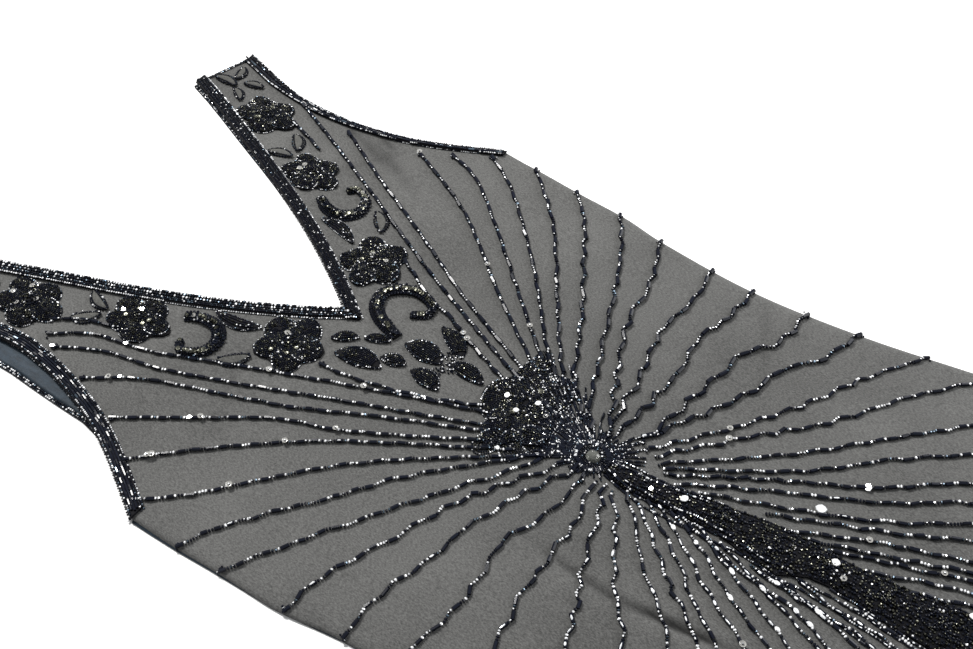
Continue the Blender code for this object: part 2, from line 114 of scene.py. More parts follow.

# Creases finer than the model's folds, in the same columns; the cloth's colour is painted darker in their
# troughs, as painted shade
CREASES = (
    (-0.0838, 0.548, 4, 0.03, 0.003, -0.0014), (-0.0812, 0.592, -7, 0.02, 0.0026, -0.0014),
    (-0.0785, 0.618, -9, 0.024, 0.003, -0.0024), (-0.089, 0.622, -9, 0.03, 0.006, 0.0009),
    (0.164, 0.16, 30, 0.009, 0.0022, -0.0012), (0.17, 0.193, 22, 0.012, 0.0022, -0.0014),
    (0.156, 0.185, 24, 0.024, 0.004, -0.001), (0.15, 0.215, 26, 0.03, 0.005, -0.0009),
    (0.121, 0.165, -66, 0.03, 0.003, 0.0005), (0.138, 0.196, -60, 0.034, 0.0034, -0.0005),
    (0.15, 0.236, -52, 0.026, 0.003, 0.0004), (-0.118, 0.18, 50, 0.034, 0.0034, 0.0005),
    (-0.096, 0.262, 60, 0.032, 0.003, -0.0004), (-0.13, 0.3, 74, 0.04, 0.004, 0.0005),
    (0.12, 0.42, 80, 0.034, 0.0036, 0.0004), (-0.15, 0.47, -78, 0.03, 0.004, 0.0005),
    (0.15, 0.56, 66, 0.036, 0.004, -0.0005), (0.1, 0.69, 18, 0.06, 0.005, 0.0007),
    (-0.15, 0.72, -28, 0.05, 0.005, -0.0008), (0.18, 0.83, 30, 0.06, 0.006, 0.0008),
    (-0.06, 0.93, -6, 0.09, 0.0055, -0.0009), (0.07, 1.02, 10, 0.08, 0.006, 0.0009),
    (-0.21, 1.05, -18, 0.09, 0.007, 0.001), (0.21, 1.21, 12, 0.1, 0.0065, -0.001),
    (-0.02, 1.33, 4, 0.09, 0.007, 0.0011), (0.13, 1.37, -8, 0.07, 0.006, 0.001),
    (-0.23, 1.37, -10, 0.08, 0.006, -0.0009),
)

# Soft folds of the back's inner side where the armhole leaves it bare
LINING_FOLDS = (
    (-0.172, 0.135, 2, 0.06, 0.003, 0.001), (-0.165, 0.16, -14, 0.045, 0.0026, 0.0008),
    (0.17, 0.14, 4, 0.06, 0.003, 0.0008),
)

# Strings of the rays from the edge or hem inwards, each as points (x, down) in millimetres, the
# left side's first
RAYS_LEFT = (
    ((143, 111), (136, 132), (127, 157)),
    ((67, 292), (46, 332), (39, 356), (26, 388), (10, 432)),
    ((167, 101), (145, 151), (113, 220), (67, 317), (29, 408), (19, 434)),
    ((161, 158), (129, 218), (97, 284), (61, 354), (35, 414), (22, 444)),
    ((174, 226), (141, 292), (112, 332), (78, 374), (34, 435), (20, 455)),
    ((188, 250), (175, 283), (138, 329), (96, 376), (38, 441), (23, 462)),
    ((206, 279), (182, 314), (147, 351), (105, 390), (56, 431), (20, 470)),
    ((215, 318), (167, 365), (131, 391), (81, 425), (29, 463)),
    ((211, 361), (184, 384), (153, 403), (103, 432), (44, 462), (14, 487)),
    ((208, 404), (182, 420), (133, 443), (83, 462), (44, 477), (10, 495)),
    ((202, 446), (151, 462), (115, 466), (74, 481), (13, 507)),
    ((196, 494), (157, 497), (114, 492), (72, 499), (19, 505)),
    ((195, 530), (153, 526), (128, 518), (92, 521), (18, 512)),
    ((197, 574), (156, 567), (132, 552), (92, 543), (20, 527)),
    ((201, 614), (160, 600), (136, 582), (99, 569), (24, 526)),
    ((209, 664), (162, 632), (119, 609), (77, 580), (17, 533)),
    ((216, 708), (158, 660), (111, 627), (69, 587), (18, 540)),
    ((228, 776), (165, 709), (116, 661), (67, 610), (14, 545)),
    ((237, 838), (141, 717), (105, 673), (65, 629), (12, 549)),
    ((242, 893), (118, 724), (79, 673), (52, 624), (8, 551)),
    ((252, 986), (103, 730), (67, 674), (39, 618), (4, 557)),
    ((262, 1086), (87, 735), (62, 693), (32, 632), (9, 575)),
    ((278, 1222), (76, 739), (56, 699), (30, 642), (18, 616)),
    ((299, 1385), (62, 744), (43, 692), (15, 634)),
    ((291, 1448), (158, 1010), (55, 746), (34, 692), (16, 645)),
    ((264, 1453), (143, 1010), (50, 748), (18, 664)),
    ((238, 1456), (127, 1010), (42, 750), (18, 688)),
    ((212, 1459), (112, 1010), (33, 753), (20, 716)),
    ((186, 1461), (96, 1040), (26, 790)),
    ((158, 1463), (84, 1080), (24, 835)),
    ((129, 1465), (70, 1120), (20, 880)),
    ((99, 1467), (55, 1160), (18, 935)),
    ((68, 1468), (38, 1200), (13, 1000)),
    ((36, 1469), (20, 1250), (9, 1055)),
    ((2, 1469), (3, 1300), (1, 1112)),
)
RAYS_RIGHT = (
    ((-131, 112), (-117, 134), (-109, 159)),
    ((-49, 304), (-44, 340), (-30, 384), (-12, 424)),
    ((-142, 121), (-123, 150), (-112, 192), (-96, 230), (-69, 293), (-41, 362), (-22, 412), (-14, 434)),
    ((-148, 133), (-130, 168), (-118, 213), (-94, 273), (-69, 330), (-27, 429), (-20, 440)),
    ((-156, 172), (-131, 211), (-111, 260), (-90, 312), (-61, 369), (-34, 426), (-24, 444)),
    ((-168, 215), (-137, 261), (-102, 313), (-86, 353), (-41, 431), (-28, 451)),
    ((-187, 248), (-152, 285), (-101, 347), (-46, 435), (-30, 462)),
    ((-205, 276), (-181, 305), (-142, 340), (-103, 376), (-65, 423), (-36, 462), (-19, 484)),
    ((-213, 324), (-184, 340), (-131, 382), (-87, 415), (-15, 487)),
    ((-211, 358), (-174, 381), (-129, 410), (-64, 455), (-22, 482)),
    ((-207, 409), (-175, 415), (-126, 436), (-88, 452), (-16, 496)),
    ((-201, 450), (-172, 450), (-128, 462), (-87, 471), (-15, 505)),
    ((-196, 484), (-138, 496), (-96, 493), (-62, 505), (-20, 512)),
    ((-195, 532), (-153, 528), (-109, 523), (-50, 523), (-17, 516)),
    ((-197, 582), (-129, 563), (-76, 543), (-44, 533), (-18, 524)),
    ((-202, 628), (-110, 590), (-80, 568), (-48, 549), (-17, 530)),
    ((-212, 692), (-94, 613), (-54, 572), (-38, 560), (-14, 536)),
    ((-223, 752), (-78, 620), (-60, 596), (-40, 573), (-16, 545)),
    ((-233, 818), (-77, 634), (-61, 612), (-42, 591), (-14, 553)),
    ((-241, 890), (-69, 649), (-47, 611), (-32, 591), (-12, 560)),
    ((-252, 992), (-60, 659), (-43, 624), (-28, 603), (-11, 567)),
    ((-263, 1092), (-54, 671), (-34, 630), (-20, 602), (-11, 573)),
    ((-279, 1226), (-44, 681), (-29, 643), (-25, 622), (-12, 586)),
    ((-299, 1388), (-40, 689), (-31, 666), (-26, 636), (-14, 604)),
    ((-287, 1449), (-150, 1010), (-31, 703), (-24, 676), (-19, 628)),
    ((-256, 1453), (-134, 1010), (-26, 712), (-22, 673), (-17, 648)),
    ((-227, 1457), (-118, 1020), (-19, 724), (-16, 682), (-10, 657)),
    ((-198, 1460), (-102, 1030), (-13, 732), (-9, 686)),
    ((-170, 1462), (-88, 1060), (-12, 775)),
    ((-141, 1464), (-74, 1100), (-17, 830)),
    ((-112, 1466), (-60, 1140), (-17, 885)),
    ((-82, 1467), (-45, 1180), (-14, 950)),
    ((-50, 1469), (-27, 1220), (-9, 1020)),
    ((-17, 1469), (-11, 1270), (-5, 1075)),
)
# Short strings beside the column, which gleam more than the rest: points (x, down) in millimetres
FLANK_STRINGS = (
    ((-10, 521), (-15, 545), (-13, 580), (-10, 616), (-11, 640)),
    ((-13, 520), (-19, 548), (-17, 590), (-15, 628), (-21, 664)),
    ((3, 520), (4, 545), (6, 572), (12, 600)),
    ((0, 519), (-1, 540), (2, 566), (6, 590)),
    ((-9, 640), (-10, 660), (-10, 690), (-12, 720), (-22, 800)),
    ((-17, 640), (-16, 665), (-18, 700), (-24, 760)),
    ((-19, 637), (-20, 660), (-24, 690), (-38, 780)),
    ((-5, 676), (-6, 700), (-9, 730), (-14, 800)),
    ((-11, 534), (-11, 560), (-8, 590), (-7, 612)),
)
# Outer ends, in millimetres down, above which a left string has large beads and below which a right
# string gleams
LARGE_TO = 640
GLEAM_FROM = 560
# How far the strings waver, at distances down of their outer ends: (down, reach)
RAY_WAVER = (
    (0.1, 0.0005), (0.25, 0.0008), (0.32, 0.0016), (0.44, 0.003), (0.56, 0.0034), (0.66, 0.0026),
    (0.78, 0.0016), (1, 0.0013), (1.47, 0.0012),
)

# Flat sequins on the rays and the column: (x, down)
SEQUINS = (
    (0.0985, 0.3495), (0.0326, 0.3743), (0.0638, 0.4093), (0.0288, 0.3788), (0.1777, 0.2192),
    (-0.143, 0.1883), (-0.1305, 0.2665), (-0.1769, 0.2613), (-0.174, 0.264), (-0.1147, 0.3298),
    (-0.0731, 0.2788), (-0.1596, 0.3205), (-0.0469, 0.3431), (0.0672, 0.5706), (0.058, 0.576),
    (0.0027, 0.6805), (0.0384, 0.6836), (0.045, 0.73), (-0.088, 0.352), (-0.076, 0.645), (0.124, 0.83),
    (-0.142, 0.91), (0.09, 1.06), (-0.07, 1.14), (0.18, 1.24), (-0.2, 1.3),
)
# Crystals there, painted white as their flash: (x, down, size)
CRYSTALS = (
    (0.0757, 0.6678, 0.0064), (0.0437, 0.6493, 0.008), (0.0111, 0.6723, 0.0062), (-0.0017, 0.5734, 0.0064),
    (0.0021, 0.4322, 0.0052), (-0.0049, 0.4445, 0.0046), (0.0088, 0.4538, 0.0052), (-0.0363, 0.45, 0.0042),
    (-0.095, 0.153, 0.0044), (-0.0868, 0.164, 0.004), (0.0253, 0.7545, 0.0056), (-0.0074, 0.552, 0.004),
    (0.03, 0.86, 0.005), (-0.011, 0.92, 0.005), (0.101, 0.96, 0.0048), (-0.128, 1.02, 0.0048),
    (0.06, 1.19, 0.0048), (-0.16, 1.18, 0.0048), (0.21, 1.31, 0.0048),
)

# Beads on the strings that flash white, their flash painted white: (x, down, length)
FLASHES = (
    (-0.1141, 0.1769, 0.0042), (-0.1361, 0.2606, 0.0044), (-0.1385, 0.1947, 0.0036),
    (-0.1435, 0.1319, 0.005), (-0.0227, 0.5767, 0.0044), (-0.0303, 0.621, 0.0056),
    (-0.0294, 0.6423, 0.0056), (-0.0246, 0.6481, 0.005), (-0.0305, 0.6661, 0.0048),
    (-0.0254, 0.6769, 0.006), (-0.0347, 0.6758, 0.005), (-0.027, 0.592, 0.004), (-0.044, 0.63, 0.005),
    (-0.052, 0.66, 0.0044), (-0.038, 0.71, 0.005),
)

# Flowers beside the V: (name, x, down, radius across, radius along, turn in degrees, how much
# nearer the centre the right one is)
FLOWERS = (
    ("flower_upper", 0.1328, 0.0858, 0.02, 0.0265, 50, 0),
    ("flower_middle", 0.0988, 0.1671, 0.0185, 0.0248, 47, 0.002),
    ("flower_lower", 0.0498, 0.2742, 0.024, 0.024, 42, 0.001),
)
PETALS = 5
BOUQUET = (0.005, 0.4460, 0.0400, 0.0275, 26.0)

# Leaves: (name, x, down, turn in degrees, length, width), and for pairs how much nearer the centre
# the right one is
PAIRED_LEAVES = (
    ("leaf_strap_outer", 0.1625, 0.0238, 71, 0.019, 0.009, 0),
    ("leaf_strap_inner", 0.1463, 0.021, -1, 0.026, 0.01, 0),
    ("leaf_strap_lower", 0.1385, 0.043, 31, 0.02, 0.008, 0),
    ("leaf_strap_side", 0.1561, 0.0467, -15, 0.02, 0.0085, 0),
    ("leaf_middle_outer", 0.1195, 0.131, 44, 0.023, 0.0105, 0.002),
    ("leaf_middle_inner", 0.1006, 0.1288, -17, 0.024, 0.009, 0),
    ("leaf_lower_top", 0.059, 0.228, 11, 0.04, 0.0105, 0.005),
    ("leaf_lower_side", 0.0856, 0.2495, 44, 0.025, 0.011, 0.003),
)
SINGLE_LEAVES = (
    ("leaf_foot_upper", -0.0205, 0.3045, -36, 0.021, 0.009),
    ("leaf_foot_upper_tip", -0.0085, 0.325, -25, 0.02, 0.008),
    ("leaf_foot_lower", -0.0315, 0.3247, -12, 0.0375, 0.017),
    ("leaf_foot_lower_tip", -0.0179, 0.3465, -16, 0.02, 0.011),
    ("leaf_sprig_left", 0.0204, 0.3712, 28, 0.033, 0.0135),
    ("leaf_sprig_top", 0.0001, 0.36, 0, 0.033, 0.018),
    ("leaf_sprig_right", -0.0185, 0.3748, 8, 0.027, 0.014),
    ("leaf_sprig_stem", 0.0025, 0.396, 2, 0.031, 0.013),
)

# Small clusters between the sprig's leaves: (x, down)
SPRIG_CLUSTERS = ((0.004, 0.372), (-0.008, 0.379), (0.001, 0.383), (0.011, 0.38))
# Rows of seeds on each side of a leaf: (share of its half width, share bright, share of steel,
# size, lift); and where its veins run, as shares of its half width
LEAF_EDGES = {
    "open": ((1.0, 0.04, 0.03, 0.0025, 0.35), (0.72, 0.05, 0.03, 0.0015, 0.30)),
    "veined": ((1.0, 0.75, 0.12, 0.0016, 0.45), (0.92, 0.05, 0.12, 0.0016, 0.20)),
    "full": ((1.0, 0.42, 0.12, 0.0016, 0.45), (0.92, 0.05, 0.12, 0.0016, 0.20)),
}
LEAF_VEINS = (-0.35, 0.1, 0.45)
# Leaves whose beads leave the cloth bare inside
OPEN_LEAVES = ("leaf_strap", "leaf_middle", "leaf_lower_side")

# Scrolls as points to curve through: (x, down)
PAIRED_SCROLL = (
    (0.08, 0.193), (0.0735, 0.205), (0.0735, 0.22), (0.084, 0.23), (0.0975, 0.227), (0.1045, 0.213),
    (0.0975, 0.206),
)
HOOK_SCROLL = (
    (0.0011, 0.3355), (0.0075, 0.3145), (0.0163, 0.3035), (0.029, 0.3005), (0.0395, 0.309),
    (0.0442, 0.3222), (0.0402, 0.3375), (0.0313, 0.3413), (0.0231, 0.33),
)
SCROLL_WIDTH = 0.0080
SCROLL_INSET = 0.0045
HOOK_WIDTH = 0.0088

# The centre column: (down, x, half width)
COLUMN = (
    (0.519, -0.0075, 0.005), (0.535, -0.0075, 0.0078), (0.56, -0.0045, 0.008), (0.585, -0.001, 0.01),
    (0.612, 0.001, 0.0125), (0.638, 0.0005, 0.0175), (0.662, 0.006, 0.0115), (0.69, 0.007, 0.0115),
    (0.716, 0.007, 0.0145), (0.745, 0.0095, 0.0175), (0.79, 0.005, 0.02), (0.84, -0.003, 0.0165),
    (0.9, -0.001, 0.0175), (0.96, 0.004, 0.0115), (1.03, 0.001, 0.0085), (1.1, 0, 0.003),
)
# Rosettes among its beads: (down, offset across as a share of its half width, radius)
ROSETTES = (
    (0.6, 0.1, 0.0085), (0.636, -0.1, 0.0125), (0.668, 0.2, 0.011), (0.706, 0, 0.012), (0.742, 0.1, 0.0135),
    (0.785, -0.1, 0.015), (0.832, 0, 0.012), (0.88, 0.1, 0.012), (0.93, -0.1, 0.01), (0.985, 0, 0.0075),
)

# Small petals of flat beads beside the bouquet: (x, down, half length, half width, turn in degrees)
SIDE_PETALS = (
    (-0.036, 0.442, 0.012, 0.008, 160), (-0.03, 0.457, 0.012, 0.0085, 205),
    (-0.018, 0.466, 0.011, 0.0075, 235), (0.044, 0.436, 0.01, 0.007, 20),
)
# Short strings round the stone: (from, to in degrees, count, nearest end, its furthest ends, share
# of gleaming beads); the second and third rows lie over the bouquet
CENTRE_FANS = (
    (36, 78, 18, 0.01, (0.046, 0.08), 0.24),
    (80, 124, 22, 0.01, (0.026, 0.044), 0.14),
    (44, 120, 20, 0.022, (0.034, 0.054), 0.10),
    (-70, 32, 27, 0.009, (0.016, 0.042), 0.24),
    (130, 282, 26, 0.009, (0.012, 0.028), 0.22),
)

# Rows of a band along its edge: (inset, kind, share bright, share of steel, size)
BAND_ROWS = {
    "neck": (
        (0.0062, "seed", 0.10, 0.30, 0.0015),
        (0.0079, "seed", 0.02, 0.20, 0.0016),
        (0.0096, "seed", 0.95, 0.05, 0.0019),
    ),
    "armhole": (
        (0.0004, "seed", 0.60, 0.20, 0.0017),
        (0.0022, "bugle", 0.02, 0.02, 0.0018),
        (0.0041, "bugle", 0.01, 0.02, 0.0018),
        (0.0060, "bugle", 0.01, 0.02, 0.0018),
        (0.0078, "seed", 0.12, 0.25, 0.0015),
        (0.0096, "seed", 0.75, 0.15, 0.0019),
    ),
    "rolled": (
        (0.0006, "seed", 0.45, 0.15, 0.0018),
        (0.0036, "seed", 0.04, 0.10, 0.0018),
        (0.0066, "bugle", 0.01, 0.04, 0.0019),
        (0.0096, "seed", 0.55, 0.10, 0.0018),
    ),
}
# Beads across the neck bands, by side: (thickness, share of gleaming ones)
NECK_ACROSS = {1: (0.0015, 0.01), -1: (0.0020, 0.50)}
# How bright each band's beads are beside the others
BAND_SHINE = {
    "front_neck_band_left": 0.3,
    "front_neck_band_right": 1.6,
    "front_armhole_band_left": 1.1,
    "front_armhole_band_right": 0.9,
}

# Beads: a seed's size, and a tube bead's length and thickness
SEED = 0.0023
BUGLE = (0.0050, 0.0024)
# Numbers of seeds between two tube beads, as often as they come
SEED_RUNS = (2, 2, 3, 4, 4, 6)
# The knot at a string's outer end: number of seeds, its place inwards, and its spread
KNOT = (9, 0.0016, 0.0012)
# Clusters between the sprig's leaves: number of seeds, and their spread
CLUSTER = (26, 0.0028)
# The column's seeds: space across and along
COLUMN_SPACE = (0.0023, 0.0021)
# Size of the smallest ring in a petal
LAST_RING = 0.10
# Rows along the straps' ends: (down, share bright), and along the back's edges: (offset, height)
STRAP_ROWS = ((0.0014, 0.35), (0.0032, 0.12))
BACK_ROWS = ((0.0010, 0.0012), (0.0026, 0.0010))
# Height of the fringe of small beads past the front's edges
FRINGE_HEIGHT = 0.0030
# Height of sequins, of the seeds on them, of flashing beads and of crystals over what they lie on
SEQUIN_LIFT = 0.0036
SEQUIN_SEED_LIFT = 0.0039
FLASH_LIFT = 0.0028
CRYSTAL_LIFT = 0.0022
# How near a string has to pass to take a sequin or a flashing bead
STRING_REACH = 0.008
# Space between rows of seeds that fill a form
SEED_ROW = 0.0017
# Step along a path, and the reach over which the cloth's slope under a bead is taken
STEP = 0.0005
SLOPE_REACH = 0.002
# A bright bead thicker than this is a dark one with a painted highlight on it: a small bright bead on its top
THICK_BEAD = 0.0028
# The centre stone's place (x, down) and radii, and the rings of seeds round it as shares of them
CENTRE_STONE = (-0.0052, 0.5070)
STONE_RADII = (0.0045, 0.0052)
STONE_RINGS = (1.2, 1.5, 1.8)
PANELS = ("front_panel", "back_panel")

# Camera, from the photo: where it looks, from where, and its lens on a 36 mm sensor
TARGET = (0.0508, 0.3540, 0.0027)
DISTANCE = 0.806
AZIMUTH = -55.25
ELEVATION = 50.11
LENS = 40.14

# The two lights: where they stand from the target
KEY_FROM = (0.195, 0.585, 0.787)
KEY_DISTANCE = 3.2
FILL_FROM = (0.70, -0.55, 0.46)
FILL_DISTANCE = 1.5
# Their sides and powers
FILL_LIGHT = (1.2, 18.0)
KEY_LIGHT = (0.75, 145.0)


# Shape of the cloth

def smooth(table, at, column=1):
    """The value of a table's column at distances down, on a smooth curve through its rows."""
    rows = np.array([(row[0], row[column]) for row in table], float)
    places, values = rows[:, 0], rows[:, 1]
    at = np.clip(np.asarray(at, float), places[0], places[-1])
    before = np.maximum(np.arange(len(rows)) - 1, 0)
    after = np.minimum(np.arange(len(rows)) + 1, len(rows) - 1)
    slope = (values[after] - values[before]) / (places[after] - places[before])
    index = np.clip(np.searchsorted(places, at, side="left") - 1, 0, len(rows) - 2)
    span = places[index + 1] - places[index]
    t = (at - places[index]) / span
    return (
        values[index] * (1 + 2 * t) * (1 - t) ** 2
        + values[index + 1] * (3 - 2 * t) * t**2
        + slope[index] * span * t * (1 - t) ** 2
        - slope[index + 1] * span * t**2 * (1 - t)
    )


def y_of(down):
    return LENGTH / 2 - down


def lean_at(lean, down, fade=LEAN_FADE):
    return lean * np.maximum(0.0, 1 - down / fade)


def outer_half(down, armhole):
    return np.where(np.asarray(down) < UNDERARM_DOWN, smooth(armhole, down), smooth(SIDE_SEAM, down))


def edge_drop(across, down):
    strap = STRAP_SLOPE * across * np.maximum(0.0, 1 - down / STRAP_SLOPE_FADE)
    hem = HEM_RISE * across**2 * np.maximum(0.0, down - HEM_RISE_START) / (LENGTH - HEM_RISE_START)
    return strap - hem


def plan_of(depth, ease, armhole, lean, fade):
    """A panel's plan: a function of side, share across from neck or centre to the edge, and down."""
    def plan(side, across, down):
        down = np.asarray(down, float)
        inner = smooth(NECK_EDGE, down * NECK_DEPTH / depth) + ease * (1 - down / depth)
        inner = np.where(down >= depth - 1e-9, 0.0, np.maximum(inner, 0.0))
        x = side * (inner + across * (outer_half(down, armhole) - inner))
        return x + lean_at(lean, down, fade), y_of(down + edge_drop(across, down))

    return plan


front_plan = plan_of(NECK_DEPTH, 0.0, ARMHOLE_EDGE, FRONT_LEAN, LEAN_FADE)
back_plan = plan_of(BACK_NECK_DEPTH, BACK_NECK_EASE, BACK_ARMHOLE_EDGE, BACK_LEAN, BACK_LEAN_FADE)


def relief(x, y, table):
    """The summed height of soft ridges and troughs."""
    down = LENGTH / 2 - y
    height = np.zeros_like(x, float)
    for fold_x, fold_down, turn, half_length, half_width, fold in table:
        turn = math.radians(turn)
        off_x, off_y = x - fold_x, fold_down - down
        along = off_x * math.sin(turn) + off_y * math.cos(turn)
        aside = off_x * math.cos(turn) - off_y * math.sin(turn)
        height = height + fold * np.exp(-((along / half_length) ** 2) - (aside / half_width) ** 2)
    return height


def front_height(x, y):
    """The front's outer face over the surface that the dress lies on."""
    x, y = np.asarray(x, float), np.asarray(y, float)
    down = LENGTH / 2 - y
    half = outer_half(np.maximum(down, 0.0), ARMHOLE_EDGE)
    inside = np.maximum(0.0, 1 - (x / half) ** 2)
    height = smooth(LOFT, down) * np.minimum(1.0, LOFT_RISE * inside)
    height = np.maximum(0.0, height + relief(x, y, FOLDS) * np.minimum(1.0, FOLD_RISE * inside))
    height = height + relief(x, y, CREASES) * np.minimum(1.0, CREASE_RISE * inside)
    to_seam = np.clip((half - np.abs(x - lean_at(FRONT_LEAN, down))) / SEAM_ROLL, 0.0, 1.0)
    drop = SEAM_DROP * (1 - to_seam) ** 2 * np.clip((down - UNDERARM_DOWN) / SEAM_START, 0.0, 1.0)
    return 2 * WALL + GAP + height - drop


def back_height(x, y):
    return BACK_CLOTH + np.maximum(0.0, relief(np.asarray(x, float), np.asarray(y, float), LINING_FOLDS))


# Meshes

def add_object(name, data):
    made = bpy.data.objects.new(name, data)
    bpy.context.scene.collection.objects.link(made)
    return made


def new_mesh(name, points, faces, looks, index=None, tone=None, flat=False):
    """A mesh object from arrays of points and of faces that all have the same number of corners."""
    mesh = bpy.data.meshes.new(name)
    mesh.vertices.add(len(points))
    mesh.vertices.foreach_set("co", np.ascontiguousarray(points, np.float32).ravel())
    mesh.loops.add(faces.size)
    mesh.loops.foreach_set("vertex_index", np.ascontiguousarray(faces, np.int32).ravel())
    mesh.polygons.add(len(faces))
    mesh.polygons.foreach_set("loop_start", np.arange(0, faces.size, faces.shape[1], dtype=np.int32))
    for look in looks:
        mesh.materials.append(look)
    if index is not None:
        mesh.polygons.foreach_set("material_index", np.ascontiguousarray(index, np.int32))
    if tone is not None:
        # A value on each point: the cloth's painted shade in creases, or a bead's own random brightness with
        # its painted top light
        values = mesh.attributes.new("tone", "FLOAT", "POINT").data
        values.foreach_set("value", np.ascontiguousarray(tone, np.float32))
    mesh.update(calc_edges=True)
    mesh.validate()
    if flat:
        mesh.shade_flat()
    else:
        mesh.shade_smooth()
    return add_object(name, mesh)


def finished(piece):
    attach(piece, "root")
    return piece


def panel_shell(name, plan, height, depth, grid, looks, thickness):
    """A cloth shell: strap halves above the foot of the V, joined along the centre below it."""
    rows, columns = grid
    upper = np.linspace(0.0, depth, rows[0])
    middle = np.linspace(depth, FINE_TO, rows[1])[1:]
    lower = np.linspace(FINE_TO, LENGTH, rows[2])[1:]
    downs = np.concatenate([upper, middle, lower])
    grid_down, grid_across = np.meshgrid(downs, np.linspace(0.0, 1.0, columns), indexing="ij")
    first = np.arange(grid_down.size).reshape(grid_down.shape)
    points, blocks = [], []
    for number, side in enumerate((-1, 1)):
        x, y = plan(side, grid_across, grid_down)
        points.append(np.stack([x, y, height(x, y)], axis=-1).reshape(-1, 3))
        index = first + number * grid_down.size
        if side == 1:
            index[rows[0] - 1:, 0] = first[rows[0] - 1:, 0]
        quads = np.stack([index[:-1, :-1], index[1:, :-1], index[1:, 1:], index[:-1, 1:]], axis=-1)
        blocks.append(quads.reshape(-1, 4)[:, ::side])
    used, faces = np.unique(np.concatenate(blocks), return_inverse=True)
    points = np.concatenate(points)[used]
    # Painted shade: how deep each point lies in creases, kept on the mesh to darken the cloth's colour there
    painted_crease_shade = np.clip(0.5 + relief(points[:, 0], points[:, 1], CREASES) / CREASE_SPAN, 0.0, 1.0)
    made = new_mesh(name, points, faces.reshape(-1, 4), looks, tone=painted_crease_shade)
    thick = made.modifiers.new("cloth", "SOLIDIFY")
    thick.thickness = thickness
    thick.offset = -1.0
    thick.material_offset = 1
    thick.material_offset_rim = looks.index(CLOTH)
    return made


def unit(vectors):
    return vectors / np.linalg.norm(vectors, axis=-1, keepdims=True)


def unit_mesh(work):
    bmesh.ops.triangulate(work, faces=work.faces)
    points = np.array([vertex.co[:] for vertex in work.verts])
    work.verts.index_update()
    faces = np.array([[vertex.index for vertex in face.verts] for face in work.faces])
    work.free()
    return points, faces


def seed_shape():
    """A cut seed bead one unit across."""
    work = bmesh.new()
    bmesh.ops.create_icosphere(work, subdivisions=1, radius=0.5)
    return unit_mesh(work)


def bugle_shape():
    """A six-sided tube bead one unit long and one unit thick, along X."""
    work = bmesh.new()
    bmesh.ops.create_cone(work, cap_ends=True, segments=6, radius1=0.5, radius2=0.5, depth=1.0)
    points, faces = unit_mesh(work)
    return points[:, [2, 0, 1]], faces


def ring(count, reach, lift):
    angles = np.linspace(0, 2 * np.pi, count, endpoint=False)
    return np.stack([reach * np.cos(angles), reach * np.sin(angles), np.full(count, lift)], 1)


def sequin_shape(count=12):
    """A cupped disc one unit across, with a hole."""
    rings = [ring(count, *sizes) for sizes in ((0.12, -0.06), (0.34, -0.04), (0.5, 0.05))]
    faces = []
    for low in (0, count):
        for point in range(count):
            high, after = low + count, (point + 1) % count
            faces.append((low + point, high + point, high + after))
            faces.append((low + point, high + after, low + after))
    return np.concatenate(rings), np.array(faces)


def facet_shape():
    """A flat cut crystal one unit across."""
    reach = np.array([0.50, 0.46, 0.50, 0.48, 0.43, 0.50, 0.47, 0.50, 0.45])
    count = len(reach)
    rim = ring(count, reach, -0.10)
    points = np.concatenate([rim, rim * np.array([0.86, 0.86, -0.5]), [(0.0, 0.0, 0.05)]])
    faces = []
    for point in range(count):
        after = (point + 1) % count
        faces.append((point, after, count + after))
        faces.append((point, count + after, count + point))
        faces.append((count + point, count + after, 2 * count))
    return points, np.array(faces)


SHAPES = {"seed": seed_shape(), "bugle": bugle_shape(), "sequin": sequin_shape(), "facet": facet_shape()}
DARK, BRIGHT, STEEL, CLEAR, SMOKE, FLASH = range(6)


